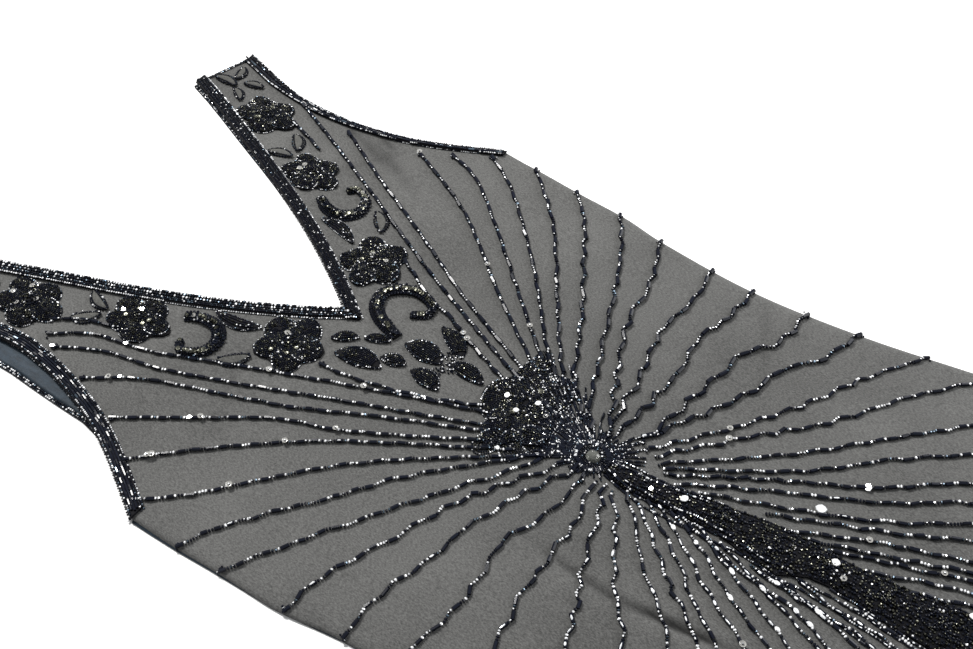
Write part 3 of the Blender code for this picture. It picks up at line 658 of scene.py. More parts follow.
class Beads:
    """Beads collected as rows of: place, direction, upward direction, size, look. height(x, y) gives
    the surface that they lie on."""

    def __init__(self, seed, height=None):
        self.height = height
        self.random = np.random.default_rng(seed)
        self.draw = self.random.uniform
        self.rows = {shape: [] for shape in SHAPES}

    def add(self, shape, place, heading, size, look, up=(0.0, 0.0, 1.0)):
        self.rows[shape].append((*place, *heading, *up, *size, look))

    def seed(self, x, y, lift, size, look, heading=(1, 0, 0)):
        self.add("seed", self.above(x, y, lift), heading, (size,) * 3, look)

    def above(self, x, y, lift):
        return x, y, float(self.height(x, y)) + lift

    def line(self, path, pattern, lift):
        """Threads beads along a plan path. pattern(beads) gives (shape, length, thickness, look) in
        turn; a bright tube bead, or a bright bead thicker than THICK_BEAD, is a dark one with a painted
        highlight along its top: a thin bright bead shifted towards where the key light's highlight falls."""
        whole, walk = walker(path)
        at = 0.0
        while True:
            shape, length, thickness, look = pattern(self)
            middle = at + length / 2
            at += length
            if at > whole:
                return
            x, y, hx, hy = walk(middle)
            z = float(self.height(x, y))
            rise = float(self.height(x + hx * SLOPE_REACH, y + hy * SLOPE_REACH)) - z
            along = (hx, hy, rise / SLOPE_REACH)
            painted_gleam = look in (BRIGHT, FLASH) and (shape == "bugle" or thickness > THICK_BEAD)
            size = (length * 0.97, thickness, thickness)
            self.add(shape, (x, y, z + thickness * lift), along, size, DARK if painted_gleam else look)
            if painted_gleam:
                # Painted highlight: a thin bright bead on the dark one's top, shifted towards where the key
                # light's highlight falls
                top = (x - 0.16 * thickness, y + 0.08 * thickness, z + thickness * (lift + 0.40))
                size = (length * self.draw(0.55, 0.95), self.draw(0.40, 0.75) * thickness, 0.40 * thickness)
                self.add("seed", top, along, size, look)

    def seeds(self, path, bright, share, size, lift, second=STEEL):
        """A line of seed beads, with shares of bright ones and of a second look."""
        self.line(path, seed_pattern(bright, share, size, second), lift)

    def choose(self, *odds):
        """A look drawn by pairs of share and look; the rest are dark."""
        chance, total = self.random.random(), 0.0
        for share, look in odds:
            total += share
            if chance < total:
                return look
        return DARK

    def tilt(self, reach):
        return (self.draw(-reach, reach), self.draw(-reach, reach), 1.0)

    def build(self, name):
        """Makes one mesh of all the beads and sews it on."""
        points, faces, index, tones_and_painted_light, total = [], [], [], [], 0
        for shape, rows in self.rows.items():
            if not rows:
                continue
            table = np.array(rows, float)
            count, place, size = len(table), table[:, None, 0:3], table[:, 9:12]
            base, base_faces = SHAPES[shape]
            along = table[:, 3:6]
            aside = unit(np.cross(table[:, 6:9], along))
            up = unit(np.cross(along, aside))
            along = unit(along)
            spin = self.draw(0, 2 * np.pi, count)[:, None]
            flat_laid = shape in ("sequin", "facet")
            if flat_laid:
                spin[:] = 0.0
            cos, sin = np.cos(spin), np.sin(spin)
            local = base[None] * size[:, None, :]
            placed = place
            for axis, direction in enumerate((along, aside * cos + up * sin, -aside * sin + up * cos)):
                placed = placed + local[:, :, axis:axis + 1] * direction[:, None]
            points.append(placed.reshape(-1, 3))
            first = total + np.arange(count)[:, None, None] * len(base)
            faces.append((base_faces[None] + first).reshape(-1, 3))
            index.append(np.repeat(table[:, 12].astype(int), len(base_faces)))
            # Painted light: a bead's own random brightness is made lighter towards its top and darker towards
            # its bottom, which the looks' ramps turn into painted highlights; flat sequins and facets keep
            # their own brightness
            rise = (placed[:, :, 2] - place[:, :, 2]) / (0.5 * size[:, None, 2])
            if flat_laid:
                rise[:] = 1.0
            own = self.draw(0.60, 1.0, count)
            tones_and_painted_light.append((own[:, None] * np.clip(0.45 + 0.55 * rise, 0.0, 1.0)).ravel())
            total += count * len(base)
        points, faces, index, tones_and_painted_light = (np.concatenate(parts) for parts in (points, faces, index, tones_and_painted_light))
        finished(new_mesh(name, points, faces, BEAD_LOOKS, index, tones_and_painted_light, flat=True))


def resampled(path, step=STEP):
    """A plan path with points at even steps, and the directions along it."""
    path = np.asarray(path, float)
    lengths = np.concatenate([[0], np.cumsum(np.linalg.norm(np.diff(path, axis=0), axis=1))])
    even = np.linspace(0, lengths[-1], max(2, int(lengths[-1] / step) + 1))
    points = np.stack([np.interp(even, lengths, path[:, 0]), np.interp(even, lengths, path[:, 1])], 1)
    return even, points, unit(np.gradient(points, axis=0))


def walker(path):
    """A path's length, and a function that gives the point and the direction at a distance."""
    even, points, heading = resampled(path)
    columns = (*points.T, *heading.T)
    return even[-1], lambda at: [np.interp(at, even, column) for column in columns]


def normals(path):
    """The directions to the left of a plan path."""
    heading = unit(np.gradient(path, axis=0))
    return np.stack([-heading[:, 1], heading[:, 0]], 1)


def ray_pattern(flash, bright=0.62, scale=1.0):
    """Tube beads between short runs of seed beads, some of them gleaming."""
    tube, thick, seed = BUGLE[0] * scale, BUGLE[1] * scale, SEED * scale
    waiting = []

    def pattern(beads):
        if not waiting:
            look = beads.choose((flash, FLASH))
            waiting.append(("bugle", tube * beads.draw(0.75, 1.1), thick, look))
            for _ in range(beads.random.choice(SEED_RUNS)):
                look = beads.choose((bright, BRIGHT), (0.1, STEEL))
                waiting.append(("seed", seed * beads.draw(0.68, 0.85), seed * beads.draw(0.95, 1.1), look))
        return waiting.pop(0)

    return pattern


def seed_pattern(bright, share, size, second):
    def pattern(beads):
        look = beads.choose((bright, BRIGHT), (share, second))
        across = size * beads.draw(0.9, 1.08)
        return "seed", across, across, look

    return pattern


def bugle_pattern(bright, steel, thickness):
    def pattern(beads):
        look = beads.choose((bright, BRIGHT), (steel, STEEL))
        return "bugle", BUGLE[0] * beads.draw(0.75, 1.05), thickness, look

    return pattern


def through(points, count=160):
    """A smooth plan path through points (x, y), stepped by the distance between them."""
    points = np.asarray(points, float)
    steps = np.concatenate([[0], np.cumsum(np.linalg.norm(np.diff(points, axis=0), axis=1))])
    table = [(step, *point) for step, point in zip(steps, points)]
    at = np.linspace(0, steps[-1], count)
    return np.stack([smooth(table, at, 1), smooth(table, at, 2)], 1)


def string_path(random, row, reach):
    """The wavering path of a string from its points (x, down) in millimetres."""
    return wavering(random, through([(x / 1000, y_of(down / 1000)) for x, down in row]), reach)


def wavering(random, path, reach):
    """The path with uneven kinks to either side, which grow towards its inner end."""
    even, points, _ = resampled(path, 0.001)
    knots, offsets, at, side = [0.0], [0.0], 0.0, 1
    while at < even[-1]:
        at += random.uniform(0.006, 0.016)
        side = -side
        knots.append(at)
        offsets.append(side * reach * random.uniform(0.15, 1.0))
    growth = 0.55 + 0.45 * even / even[-1]
    offset = np.interp(even, knots, offsets) * growth
    return points + normals(points) * offset[:, None]


# Materials: an argument in capitals is for the socket of that name, its spaces written as underscores

def fill_in(material, node, values):
    """Sets a node's inputs to constants, or links them to other nodes' outputs."""
    for socket, value in values.items():
        if isinstance(value, bpy.types.NodeSocket):
            material.node_tree.links.new(value, node.inputs[socket])
        else:
            node.inputs[socket].default_value = value


def new_material(name, base, roughness, **sockets):
    made = bpy.data.materials.new(name)
    made.use_nodes = True
    shader = made.node_tree.nodes["Principled BSDF"]
    named = {socket.replace("_", " "): value for socket, value in sockets.items()}
    fill_in(made, shader, {"Base Color": (*base, 1.0), "Roughness": roughness, **named})
    return made, shader


def add_node(material, kind, output, *numbered, **named):
    """A new node's output. Arguments fill its inputs in order or by name, or set its settings."""
    node = material.node_tree.nodes.new(kind)
    inputs = dict(enumerate(numbered))
    for name, value in named.items():
        if hasattr(node, name):
            setattr(node, name, value)
        else:
            inputs[name.replace("_", " ")] = value
    fill_in(material, node, inputs)
    return node.outputs[output]


def ramp(material, source, stops):
    """A colour that goes from one stop (place, colour) to the next."""
    node = material.node_tree.nodes.new("ShaderNodeValToRGB")
    for element, (place, colour) in zip(node.color_ramp.elements, stops):
        element.position = place
        element.color = (*colour, 1.0)
    fill_in(material, node, {"Fac": source})
    return node.outputs["Color"]


def cloth_material(name, dark, light, roughness, grain, sheen, painted_crease_shade=0.0):
    """Fine plain cloth: drifting colour, a crepe grain along a slight bias, a thread bump, and painted shade
    that darkens it in creases.
    """
    made, shader = new_material(
        name, light, roughness, Sheen_Weight=sheen, Sheen_Roughness=0.5, Specular_IOR_Level=0.25
    )
    place = add_node(made, "ShaderNodeTexCoord", "Object")
    bias = (0.0, 0.0, math.radians(-20.0))
    turned = add_node(made, "ShaderNodeMapping", "Vector", Rotation=bias, Scale=(1, 0.45, 1), Vector=place)
    drift = add_node(made, "ShaderNodeTexNoise", "Fac", Scale=9.0, Detail=3.0, Roughness=0.55, Vector=place)
    slub = add_node(made, "ShaderNodeTexNoise", "Fac", Scale=grain, Detail=4.0, Roughness=0.7, Vector=turned)
    thread = add_node(
        made, "ShaderNodeTexWave", "Fac", Scale=900.0, Distortion=1.5, Detail=2.0, Vector=turned
    )
    share = add_node(made, "ShaderNodeMath", "Value", drift, 0.25, operation="MULTIPLY")
    mixed = add_node(made, "ShaderNodeMath", "Value", slub, 0.75, share, operation="MULTIPLY_ADD")
    colour = ramp(made, mixed, ((0.38, dark), (0.62, light)))
    # Painted shade: the cloth's colour is darkened where the mesh marks it deep in creases
    tone = add_node(made, "ShaderNodeAttribute", "Fac", attribute_name="tone")
    depth = add_node(made, "ShaderNodeMapRange", "Result", Value=tone, From_Max=0.5, To_Min=1.0 - painted_crease_shade)
    shaded = add_node(made, "ShaderNodeVectorMath", "Vector", colour, depth, operation="MULTIPLY")
    both = add_node(made, "ShaderNodeMath", "Value", thread, 0.35, slub, operation="MULTIPLY_ADD")
    bump = add_node(made, "ShaderNodeBump", "Normal", Strength=0.45, Distance=0.0004, Height=both)
    fill_in(made, shader, {"Base Color": shaded, "Normal": bump})
    return made


def bead_material(name, stops, roughness, metallic, coat, specular=0.5, clear=0.0):
    """Glass beads: each bead has its own random brightness, read from the mesh together with the painted
    light that makes it lighter towards its top.
    """
    made, shader = new_material(
        name,
        stops[0][1],
        roughness,
        Metallic=metallic,
        Specular_IOR_Level=specular,
        Coat_Weight=coat,
        Coat_Roughness=0.05,
        Transmission_Weight=clear,
    )
    tone = add_node(made, "ShaderNodeAttribute", "Fac", attribute_name="tone")
    smear = add_node(made, "ShaderNodeTexNoise", "Fac", Scale=900.0, Detail=1.0)
    limits = {"To_Min": roughness * 0.6, "To_Max": roughness * 1.5}
    spread = add_node(made, "ShaderNodeMapRange", "Result", Value=smear, **limits)
    fill_in(made, shader, {"Base Color": ramp(made, tone, stops), "Roughness": spread})
    return made


def speckled(name, base, roughness, scale, detail, stops, **sockets):
    """A plain material whose colour drifts between two stops. Also gives its shader and noise."""
    made, shader = new_material(name, base, roughness, **sockets)
    noise = add_node(made, "ShaderNodeTexNoise", "Fac", Scale=scale, Detail=detail)
    fill_in(made, shader, {"Base Color": ramp(made, noise, stops)})
    return made, shader, noise


def thread_material():
    """Dark thread and net under the dense beadwork."""
    stops = ((0.3, (0.002, 0.002, 0.003)), (0.7, (0.008, 0.008, 0.010)))
    base = (0.006, 0.006, 0.008)
    made, shader, noise = speckled("dark_thread", base, 0.75, 1400.0, 3.0, stops, Specular_IOR_Level=0.1)
    fill_in(made, noise.node, {"Vector": add_node(made, "ShaderNodeTexCoord", "Object")})
    bump = add_node(made, "ShaderNodeBump", "Normal", Strength=0.6, Distance=0.0004, Height=noise)
    fill_in(made, shader, {"Normal": bump})
    return made


def stone_material():
    """A smoky clear stone."""
    stops = ((0.35, (0.10, 0.105, 0.095)), (0.7, (0.30, 0.31, 0.28)))
    clear = {"Transmission_Weight": 0.55, "Coat_Weight": 0.8}
    return speckled("smoky_stone", (0.20, 0.21, 0.19), 0.06, 260.0, 2.0, stops, **clear)[0]


def floor_material():
    stops = ((0.3, (0.925, 0.925, 0.925)), (0.7, (0.94, 0.94, 0.94)))
    return speckled("pale_floor", (0.93, 0.93, 0.93), 0.9, 40.0, 2.0, stops, Specular_IOR_Level=0.1)[0]


CLOTH = cloth_material("grey_crepe", (0.045, 0.045, 0.044), (0.122, 0.122, 0.119), 0.85, 1200.0, 0.05, 0.85)
LINING = cloth_material("blue_grey_lining", (0.0065, 0.0145, 0.024), (0.017, 0.032, 0.049), 0.55, 300.0, 0.08)
OPEN_GROUND = cloth_material("cloth_in_leaf", (0.04, 0.04, 0.037), (0.1, 0.1, 0.094), 0.85, 1200.0, 0.05)
THREAD = thread_material()
STONE = stone_material()
# In the order DARK, BRIGHT, STEEL, CLEAR, SMOKE, FLASH: name, two stops of brightness and colour, roughness,
# metallic, coat, then specular and clearness where they aren't the usual. The ramps paint each round bead
# lighter on its top, as painted light: the silver look's white top is a painted glint, and the crystal look
# is painted white as a flash
BEAD_LOOKS = [
    bead_material(*row)
    for row in (
        ("bead_black", ((0.0, (0.0015, 0.0015, 0.0025)), (1.0, (0.007, 0.009, 0.017))), 0.15, 0.0, 0.0, 0.20),
        ("bead_silver", ((0.48, (0.01, 0.012, 0.02)), (0.70, (0.97, 0.98, 1.0))), 0.22, 0.35, 0.0),
        ("bead_steel", ((0.45, (0.01, 0.012, 0.02)), (0.9, (0.26, 0.34, 0.42))), 0.22, 1.0, 0.0),
        ("sequin_clear", ((0.0, (0.45, 0.44, 0.40)), (1.0, (0.80, 0.79, 0.75))), 0.12, 0.0, 1.0, 0.5, 0.6),
        ("bead_smoke", ((0.50, (0.004, 0.004, 0.004)), (0.95, (0.20, 0.20, 0.16))), 0.25, 1.0, 0.0),
        ("crystal_white", ((0.0, (0.85, 0.9, 0.95)), (1.0, (1.0, 1.0, 1.0))), 0.15, 0.3, 1.0),
    )
]


# Cloth pieces

def cut_area(plan):
    """The flat area of a panel, from its rows."""
    downs = np.linspace(0.0, LENGTH, 800)
    inner, _ = plan(1, 0.0, downs)
    outer, _ = plan(1, 1.0, downs)
    return float(np.mean(outer - inner) * LENGTH * 2)


front = panel_shell(
    "front_cloth", front_plan, front_height, NECK_DEPTH, FRONT_GRID, [CLOTH, LINING], FRONT_CLOTH
)
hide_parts("front_panel")
finished(front)
back = panel_shell(
    "back_cloth", back_plan, back_height, BACK_NECK_DEPTH, BACK_GRID, [LINING, CLOTH], BACK_CLOTH
)
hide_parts("back_panel")
finished(back)
cut_area(front_plan)
cut_area(back_plan)


# Rays

def build_rays():
    """Threads the strings and returns the points of their paths."""
    strung = []
    for name, rows, side in (("rays_left", RAYS_LEFT, 1), ("rays_right", RAYS_RIGHT, -1)):
        beads = Beads(len(name), front_height)
        for row in rows:
            outer_down = row[0][1]
            path = string_path(beads.random, row, float(smooth(RAY_WAVER, outer_down / 1000)))
            seam_x, _ = front_plan(side, 1.0, LENGTH / 2 - path[:, 1])
            path = path[side * (seam_x - path[:, 0]) > -0.0002]
            flash = 0.70 if side == -1 and outer_down > GLEAM_FROM else 0.05
            scale = 1.40 if side == 1 and outer_down < LARGE_TO else 1.15
            beads.line(path, ray_pattern(flash, scale=scale), 0.55)
            knot(beads, path[0], path[4] - path[0])
            strung.append(path)
        beads.build(name)
    return np.concatenate(strung)


def knot(beads, place, inward):
    """The cluster of small beads that ends a string."""
    count, inset, spread = KNOT
    inward = inward / np.linalg.norm(inward)
    for _ in range(count):
        x, y = place + inward * inset + beads.random.normal(0.0, spread, 2)
        size = SEED * beads.draw(0.7, 0.95)
        look = beads.choose((0.12, BRIGHT))
        beads.seed(x, y, beads.draw(0.3, 0.9) * size, size, look)


# Beadwork laid on the raised pieces of the model

def tree_of(node):
    work = bmesh.new()
    work.from_mesh(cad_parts[node].data)
    tree = BVHTree.FromBMesh(work)
    work.free()
    return tree


def over(*nodes):
    """Height of the highest of these solids, or of the cloth where none lies."""
    trees = [tree_of(node) for node in nodes]

    def height(x, y):
        best = float(front_height(x, y))
        for tree in trees:
            hit = tree.ray_cast(Vector((x, y, 1.0)), Vector((0, 0, -1)))[0]
            if hit is not None:
                best = max(best, hit.z)
        return best

    return height


def edge_path(side, across, inset):
    """A path beside the front's neck edge (across 0) or armhole edge (across 1), inset into the cloth.
    At the foot of the V it runs on to the centre line, so that the two sides are mitred."""
    downs = np.linspace(0.0, UNDERARM_DOWN if across else NECK_DEPTH, 240)
    path = np.stack(front_plan(side, float(across), downs), 1)
    if across:
        if side == 1:
            inset = inset * np.interp(downs, *np.transpose(ROLLED))[:, None]
        return path - side * normals(path) * inset
    last = path[-1] - path[-8]
    onward = np.linspace(0.0006, 0.024, 40)[:, None] * last
    path = np.concatenate([path, path[-1] + onward / np.linalg.norm(last)])
    path = path + side * normals(path) * inset
    centre = lean_at(FRONT_LEAN, LENGTH / 2 - path[:, 1])
    return path[side * (path[:, 0] - centre) > 0.0002]


def across_row(beads, path, reach, thickness, bright):
    """Short beads side by side across a band."""
    whole, walk = walker(path)
    at = 0.0
    while at < whole:
        x, y, hx, hy = walk(at)
        look = beads.choose((bright, BRIGHT), (0.6 * bright, STEEL))
        thick = thickness * beads.draw(0.85, 1.15)
        size = (reach * beads.draw(0.85, 1.1), thick, thick)
        beads.add("seed", beads.above(x, y, 0.3 * thick), (-hy, hx, 0.0), size, look)
        at += 1.15 * thick


def fringe(beads, path, shine):
    """Short beads that stand out past an edge."""
    whole, walk = walker(path)
    at = 0.0
    while at < whole:
        x, y, hx, hy = walk(at)
        look = beads.choose((0.30 * shine, BRIGHT))
        size = 0.0015 * beads.draw(0.85, 1.15)
        z = FRINGE_HEIGHT + beads.draw(-0.0005, 0.0007)
        beads.add("seed", (x, y, z), (-hy, hx, 0.1), (size * 1.4, size, size), look)
        at += 0.0022 * beads.draw(0.85, 1.2)


def band_beads(word, side, kind, across):
    node = f"front_{kind}_band_{word}"
    shine = BAND_SHINE[node]
    beads = Beads(len(node) * 7 + side, over(node))
    rows = BAND_ROWS["rolled" if node == "front_armhole_band_left" else kind]
    for inset, shape, bright, steel, size in rows:
        pattern = bugle_pattern(bright * shine, steel, size)
        if shape == "seed":
            pattern = seed_pattern(min(0.9, bright * max(shine, 0.8)), steel * min(1.0, shine), size, STEEL)
        beads.line(edge_path(side, across, inset), pattern, 0.25)
    if kind == "neck":
        thickness, painted_gleam = NECK_ACROSS[side]
        across_row(beads, edge_path(side, 0, 0.0011), 0.0030, thickness, painted_gleam)
        across_row(beads, edge_path(side, 0, 0.0038), 0.0028, thickness, 0.8 * painted_gleam)
    fringe(beads, edge_path(side, across, -0.0009), shine)
    beads.build(f"{node}_beads")


def back_band_beads(word, side, kind, across):
    x, y = back_plan(side, float(across), np.linspace(0.0, UNDERARM_DOWN, 200))
    outward = side * (1 if across else -1)
    beads = Beads(31 + side + 5 * across)
    for offset, lift in BACK_ROWS:
        beads.height = lambda px, py: lift
        beads.seeds(np.stack([x + outward * offset, y], 1), 0.35, 0.25, 0.0017, 0.3)
    beads.build(f"back_{kind}_band_{word}_beads")


def strap_end(word, side):
    """Two rows of beads along the end of a strap."""
    beads = Beads(71 + side, front_height)
    share = np.linspace(0.16, 0.84, 60)
    for down, bright in STRAP_ROWS:
        beads.seeds(np.stack(front_plan(side, share, np.full(60, down)), 1), bright, 0.2, 0.0017, 0.4)
    beads.build(f"strap_end_{word}_beads")


SIDES = ((1, "left"), (-1, "right"))


def build_bands():
    for side, word in SIDES:
        for kind, across in (("neck", 0), ("armhole", 1)):
            band_beads(word, side, kind, across)
            back_band_beads(word, side, kind, across)
        strap_end(word, side)


def ellipse(middle, axis, half_length, half_width, scale=1.0, radii=(1.0, 1.0)):
    """A closed plan path round a middle, its long way along an angle, stretched by radii."""
    turn = np.linspace(0, 2 * np.pi, 48)
    u = half_length * np.cos(turn) * scale
    v = half_width * np.sin(turn) * scale
    x = u * math.cos(axis) - v * math.sin(axis)
    y = u * math.sin(axis) + v * math.cos(axis)
    return np.stack([(middle[0] + x) * radii[0], (middle[1] + y) * radii[1]], 1)


def petal_beads(beads, middle, own, axis, half_length, half_width, radii):
    """Rings of small seeds that fill a petal, the outer side of its edge gleaming."""
    rings = np.arange(1.0, LAST_RING, -SEED_ROW / (2 * half_width * min(radii)) * 1.6)
    for number, scale in enumerate(rings):
        path = ellipse(own, axis, half_length, half_width, scale, radii)
        if number:
            beads.seeds(path + middle, 0.015, 0.30, 0.0016, 0.25, SMOKE)
            continue
        reach = np.hypot(path[:, 0] / radii[0], path[:, 1] / radii[1])
        start = int(np.argmin(reach))
        path, reach = np.roll(path[:-1], -start, axis=0), np.roll(reach[:-1], -start)
        outer = reach > np.hypot(*own) * 1.02
        beads.seeds(path[outer] + middle, 0.36, 0.2, 0.0014, 0.5)
        beads.seeds(path[~outer] + middle, 0.04, 0.3, 0.0015, 0.3, SMOKE)


def flower_beads(name, middle, radii, turn, seed):
    """A flower's petals, a dark eye and a few sequins."""
    beads = Beads(seed, over(name))
    spread = math.sin(math.pi / PETALS)
    for petal in range(PETALS):
        axis = math.radians(turn + beads.draw(-7.0, 7.0)) + 2 * math.pi * petal / PETALS
        reach = beads.draw(0.56, 0.66)
        own = (reach * math.cos(axis), reach * math.sin(axis))
        width = 0.84 * spread * beads.draw(0.88, 1.08)
        petal_beads(beads, middle, own, axis, 0.50, width, radii)
    for scale in (0.22, 0.10):
        path = ellipse((0.0, 0.0), 0.0, scale, scale, radii=radii)
        beads.seeds(path + middle, 0.08, 0.3, 0.0019, 0.6, SMOKE)
    for _ in range(PETALS - 1):
        angle, share = beads.draw(0, 2 * math.pi), beads.draw(0.20, 0.65)
        x = middle[0] + radii[0] * share * math.cos(angle)
        y = middle[1] + radii[1] * share * math.sin(angle)
        tilt = beads.tilt(0.3)
        size = (beads.draw(0.0034, 0.0046),) * 3
        look = CLEAR if beads.random.random() < 0.3 else SMOKE
        beads.add("sequin", beads.above(x, y, 0.0013), (1, 0.1, 0), size, look, tilt)
    beads.build(f"{name}_beads")


def paired_x(x, down, side, inset):
    return side * x + lean_at(FRONT_LEAN, down) + (inset if side == -1 else 0.0)


def build_flowers():
    for number, (name, x, down, across, along, turn, inset) in enumerate(FLOWERS):
        for side, word in SIDES:
            middle = np.array([paired_x(x, down, side, inset), y_of(down)])
            turned = turn if side == 1 else 180.0 - turn
            flower_beads(f"{name}_{word}", middle, (across, along), turned, 100 + 2 * number + side)
    x, down, across, along, turn = BOUQUET
    flower_beads("bouquet", np.array([x, y_of(down)]), (across, along), turn, 90)


def leaf_line(x, down, turn, length, side=1, count=40):
    turn = math.radians(turn) * side
    t = np.linspace(0.0, 1.0, count)
    along = (t - 0.5) * length
    bow = 0.10 * length * np.sin(np.pi * t)
    line_x = x + along * math.sin(turn) + bow * math.cos(turn) * side
    line_y = y_of(down) + along * math.cos(turn) - bow * math.sin(turn) * side
    return t, np.stack([line_x, line_y], 1)


def leaf_beads(name, line, halves, beads, style):
    """Rows of seed beads along a leaf: open with a dark edge, veined with a gleaming one, or full."""
    beads.height = over(name)
    aside = normals(line)
    for offset in (-1.0, 1.0):
        for near, *row in LEAF_EDGES[style]:
            beads.seeds(line + aside * (halves * offset * near)[:, None], *row)
    inside = {"open": (), "veined": LEAF_VEINS, "full": np.arange(-1, 1, SEED_ROW / float(halves.max()))[1:]}
    for offset in inside[style]:
        bright = 0.10 if style == "veined" else 0.02
        path = (line + aside * (halves * offset)[:, None])[6:-5]
        beads.seeds(path, bright, 0.28, 0.0015, 0.25, SMOKE)


def build_leaves():
    rows = []
    for name, x, down, turn, length, width, inset in PAIRED_LEAVES:
        for side, word in SIDES:
            place = paired_x(x, down, side, inset)
            rows.append((f"{name}_{word}", place, down, turn, length, width, side))
    rows += [(*row, 1) for row in SINGLE_LEAVES]
    beads = Beads(61)
    for name, x, down, turn, length, width, side in rows:
        t, line = leaf_line(x, down, turn, length, side)
        halves = np.maximum(0.0005, 0.5 * width * np.sin(np.pi * t) ** 0.8)
        style = "open" if name.startswith(OPEN_LEAVES) else "veined" if "lower_top" in name else "full"
        leaf_beads(name, line, halves, beads, style)
    beads.height = front_height
    for x, down in SPRIG_CLUSTERS:
        for _ in range(CLUSTER[0]):
            px, py = np.array([x, y_of(down)]) + beads.random.normal(0.0, CLUSTER[1], 2)
            size = 0.0017 * beads.draw(0.8, 1.1)
            beads.seed(px, py, 0.5 * size, size, beads.choose((0.2, BRIGHT)))
    beads.build("leaf_beads")


def build_scrolls():
    scrolls = (
        ("scroll_hook", HOOK_SCROLL, HOOK_WIDTH, 1),
        ("scroll_left", PAIRED_SCROLL, SCROLL_WIDTH, 1),
        ("scroll_right", PAIRED_SCROLL, SCROLL_WIDTH, -1),
    )
    beads = Beads(67)
    for name, route, width, side in scrolls:
        line = through([(paired_x(x, down, side, SCROLL_INSET), y_of(down)) for x, down in route])
        along = np.linspace(0.0, 1.0, len(line))
        halves = width * (0.30 + 0.28 * np.sin(np.pi * np.minimum(1.0, along + 0.15)))
        leaf_beads(name, line, halves, beads, "open")
        _, points, heading = resampled(line, 0.0024)
        for (x, y), (hx, hy) in zip(points[1:-1], heading[1:-1]):
            look = beads.choose((0.06, CLEAR), (0.54, SMOKE))
            shift = beads.draw(-0.0009, 0.0009)
            place = beads.above(x - hy * shift, y + hx * shift, 0.0012)
            beads.add("sequin", place, (hx, hy, 0.2), (0.0036,) * 3, look, beads.tilt(0.5))
        for offset in (-0.45, 0.45):
            path = line + normals(line) * (halves * offset)[:, None]
            beads.seeds(path, 0.10, 0.35, 0.0016, 0.4, SMOKE)
    beads.build("scroll_beads")


def build_column():
    beads = Beads(83, over("centre_column"))
    down = COLUMN[0][0] + 0.001
    while down < COLUMN[-1][0]:
        centre, half = float(smooth(COLUMN, down, 1)), float(smooth(COLUMN, down, 2))
        count = max(1, int(round(2 * half / COLUMN_SPACE[0])))
        for share in (np.arange(count) + 0.5) / count * 2 - 1:
            x = centre + share * half * 1.02 + beads.random.normal(0, 0.0003)
            y = y_of(down) + beads.random.normal(0, 0.0004)
            size = 0.0019 * beads.draw(0.75, 1.2)
            look = beads.choose((0.014, BRIGHT), (0.326, SMOKE))
            beads.seed(x, y, beads.draw(-0.1, 0.6) * size, size, look, (0, 1, 0))
        down += COLUMN_SPACE[1]
    for place, share, radius in ROSETTES:
        x = float(smooth(COLUMN, place, 1)) + share * float(smooth(COLUMN, place, 2))
        for petal in range(5):
            axis = 2 * math.pi * (petal + 0.37 * place * 100) / 5
            own = (0.6 * radius * math.cos(axis), 0.6 * radius * math.sin(axis))
            path = ellipse(own, axis, 0.5 * radius, 0.42 * radius) + np.array([x, y_of(place)])
            beads.seeds(path, 0.04, 0.40, 0.0016, 0.9, SMOKE)
    beads.build("centre_column_beads")


def build_centre():
    """Short strings round the stone, where the rays meet, and the stone's own ring."""
    beads = Beads(97, over("bouquet", "centre_stone", "centre_column"))
    stone = np.array([CENTRE_STONE[0], y_of(CENTRE_STONE[1])])
    for first, last, count, near, (nearest, furthest), bright in CENTRE_FANS:
        for degrees in np.linspace(first, last, count):
            angle = math.radians(degrees + beads.draw(-1.5, 1.5))
            far = beads.draw(nearest, furthest)
            toward = np.array([math.cos(angle), math.sin(angle)])
            path = np.linspace(stone + toward * near, stone + toward * far, 30)
            beads.line(wavering(beads.random, path, 0.0007), ray_pattern(0.10, bright, 0.68), 0.5)
    for row in FLANK_STRINGS:
        beads.line(string_path(beads.random, row, 0.0008), ray_pattern(0.30, 0.40, 0.8), 0.5)
    for x, down, half_length, half_width, turn in SIDE_PETALS:
        middle = np.array([x, y_of(down)])
        for scale in np.arange(1.0, LAST_RING, -SEED_ROW / half_width):
            path = ellipse((0.0, 0.0), math.radians(turn), half_length, half_width, scale) + middle
            if scale == 1.0:
                beads.seeds(path, 0.25, 0.2, 0.0015, 0.5)
            else:
                beads.seeds(path, 0.02, 0.3, 0.0016, 0.5, SMOKE)
    for share in STONE_RINGS:
        path = ellipse((0.0, 0.0), 0.0, STONE_RADII[0] * share, STONE_RADII[1] * share) + stone
        beads.seeds(path, 0.04, 0.15, 0.0018, 0.5)
    beads.build("centre_beads")


def camera_place():
    turn, rise = math.radians(AZIMUTH), math.radians(ELEVATION)
    back_to = Vector((math.sin(turn) * math.cos(rise), -math.cos(turn) * math.cos(rise), math.sin(rise)))
    return Vector(TARGET) + back_to * DISTANCE


def lamp_place(direction, distance):
    return Vector(TARGET) + Vector(direction).normalized() * distance


def on_string(strung, x, y):
    """The nearest point of a string, and the direction there, when one passes near enough."""
    away = np.hypot(strung[:, 0] - x, strung[:, 1] - y)
    best = min(int(np.argmin(away)), len(strung) - 2)
    if away[best] > STRING_REACH:
        return x, y, (1.0, 0.0)
    return (*strung[best], tuple(strung[best + 1] - strung[best]))


def caught(place):
    """The direction in which a bead at a place sends the key light to the camera."""
    lamp = lamp_place(KEY_FROM, KEY_DISTANCE)
    return ((camera_place() - place).normalized() + (lamp - place).normalized()).normalized()


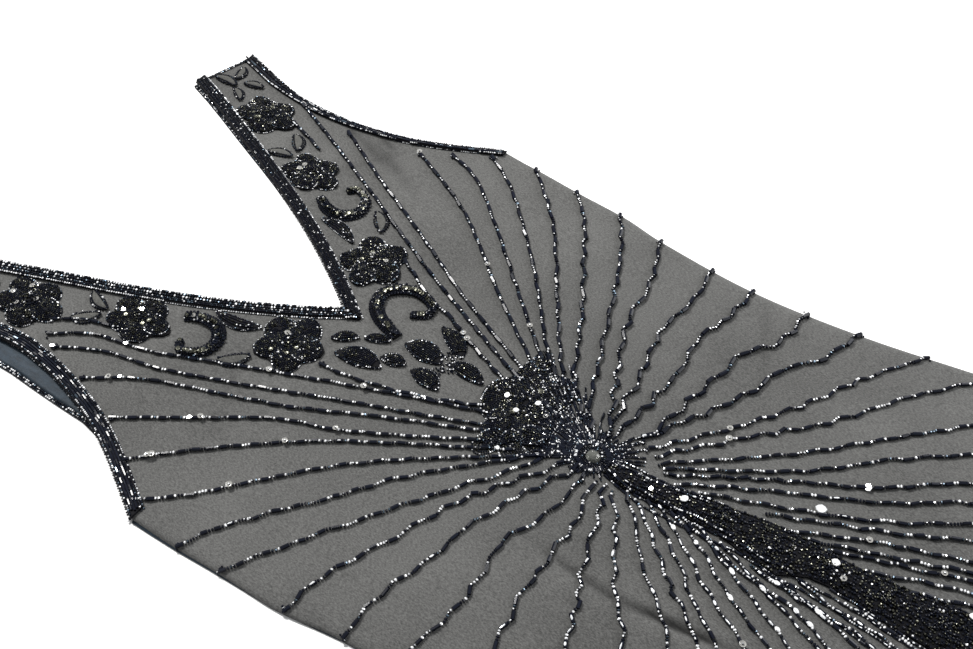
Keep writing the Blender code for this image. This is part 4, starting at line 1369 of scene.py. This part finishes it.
def build_sparkles(strung):
    """Clear sequins and flashing beads on the strings, and crystals; the beads and crystals are turned to
    catch the key light and painted white as their flash.
    """
    beads = Beads(41, over(*[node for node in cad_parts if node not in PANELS]))
    for x, down in SEQUINS:
        x, y, _ = on_string(strung, x, y_of(down))
        tilt = beads.tilt(0.12)
        size = (beads.draw(0.0040, 0.0050),) * 3
        beads.add("sequin", beads.above(x, y, SEQUIN_LIFT), (1, 0, 0), size, CLEAR, tilt)
        beads.seed(x, y, SEQUIN_SEED_LIFT, 0.0016, BRIGHT)
    for x, down, length in FLASHES:
        x, y, (hx, hy) = on_string(strung, x, y_of(down))
        place = Vector(beads.above(x, y, FLASH_LIFT))
        beads.add("facet", place, (hx, hy, 0.0), (length, 0.0030, 0.0022), FLASH, caught(place))
    for x, down, size in CRYSTALS:
        place = Vector(beads.above(x, y_of(down), CRYSTAL_LIFT))
        along = (beads.draw(-1, 1), beads.draw(-1, 1), 0.0)
        beads.add("facet", place, along, (size, 0.8 * size, 0.5 * size), FLASH, caught(place))
    beads.build("sparkles")


strung = build_rays()
build_bands()
build_flowers()
build_leaves()
build_scrolls()
build_column()
build_centre()
build_sparkles(strung)

for node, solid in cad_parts.items():
    look = STONE if node == "centre_stone" else OPEN_GROUND if node.startswith(OPEN_LEAVES) else THREAD
    solid.data.materials.clear()
    solid.data.materials.append(look)


# Floor, light and camera

def face_target(thing, place):
    thing.location = place
    thing.rotation_euler = (place - Vector(TARGET)).to_track_quat("Z", "Y").to_euler()


def build_floor():
    points = np.array([(-4, -4, 0), (4, -4, 0), (4, 4, 0), (-4, 4, 0)], float)
    points[:, 2] = -0.0002
    floor = new_mesh("floor", points, np.array([[0, 1, 2, 3]]), [floor_material()])


def area_light(name, place, size, power, colour):
    data = bpy.data.lights.new(name, "AREA")
    data.shape = "SQUARE"
    data.size = size
    data.energy = power
    data.color = colour
    face_target(add_object(name, data), place)


def build_light():
    world = bpy.data.worlds.new("studio")
    bpy.context.scene.world = world
    world.use_nodes = True
    sky = world.node_tree.nodes["Background"]
    sky.inputs["Color"].default_value = (0.96, 0.98, 1.0, 1.0)
    sky.inputs["Strength"].default_value = 0.45
    area_light("fill", lamp_place(FILL_FROM, FILL_DISTANCE), *FILL_LIGHT, (1.0, 1.0, 1.0))
    area_light("key", lamp_place(KEY_FROM, KEY_DISTANCE), *KEY_LIGHT, (1.0, 0.985, 0.96))


def build_camera():
    data = bpy.data.cameras.new("photo_view")
    data.lens = LENS
    data.sensor_width = 36.0
    data.clip_start = 0.01
    camera = add_object("photo_view", data)
    face_target(camera, camera_place())
    bpy.context.scene.camera = camera


build_floor()
build_light()
build_camera()
bpy.context.scene.view_settings.view_transform = "Standard"
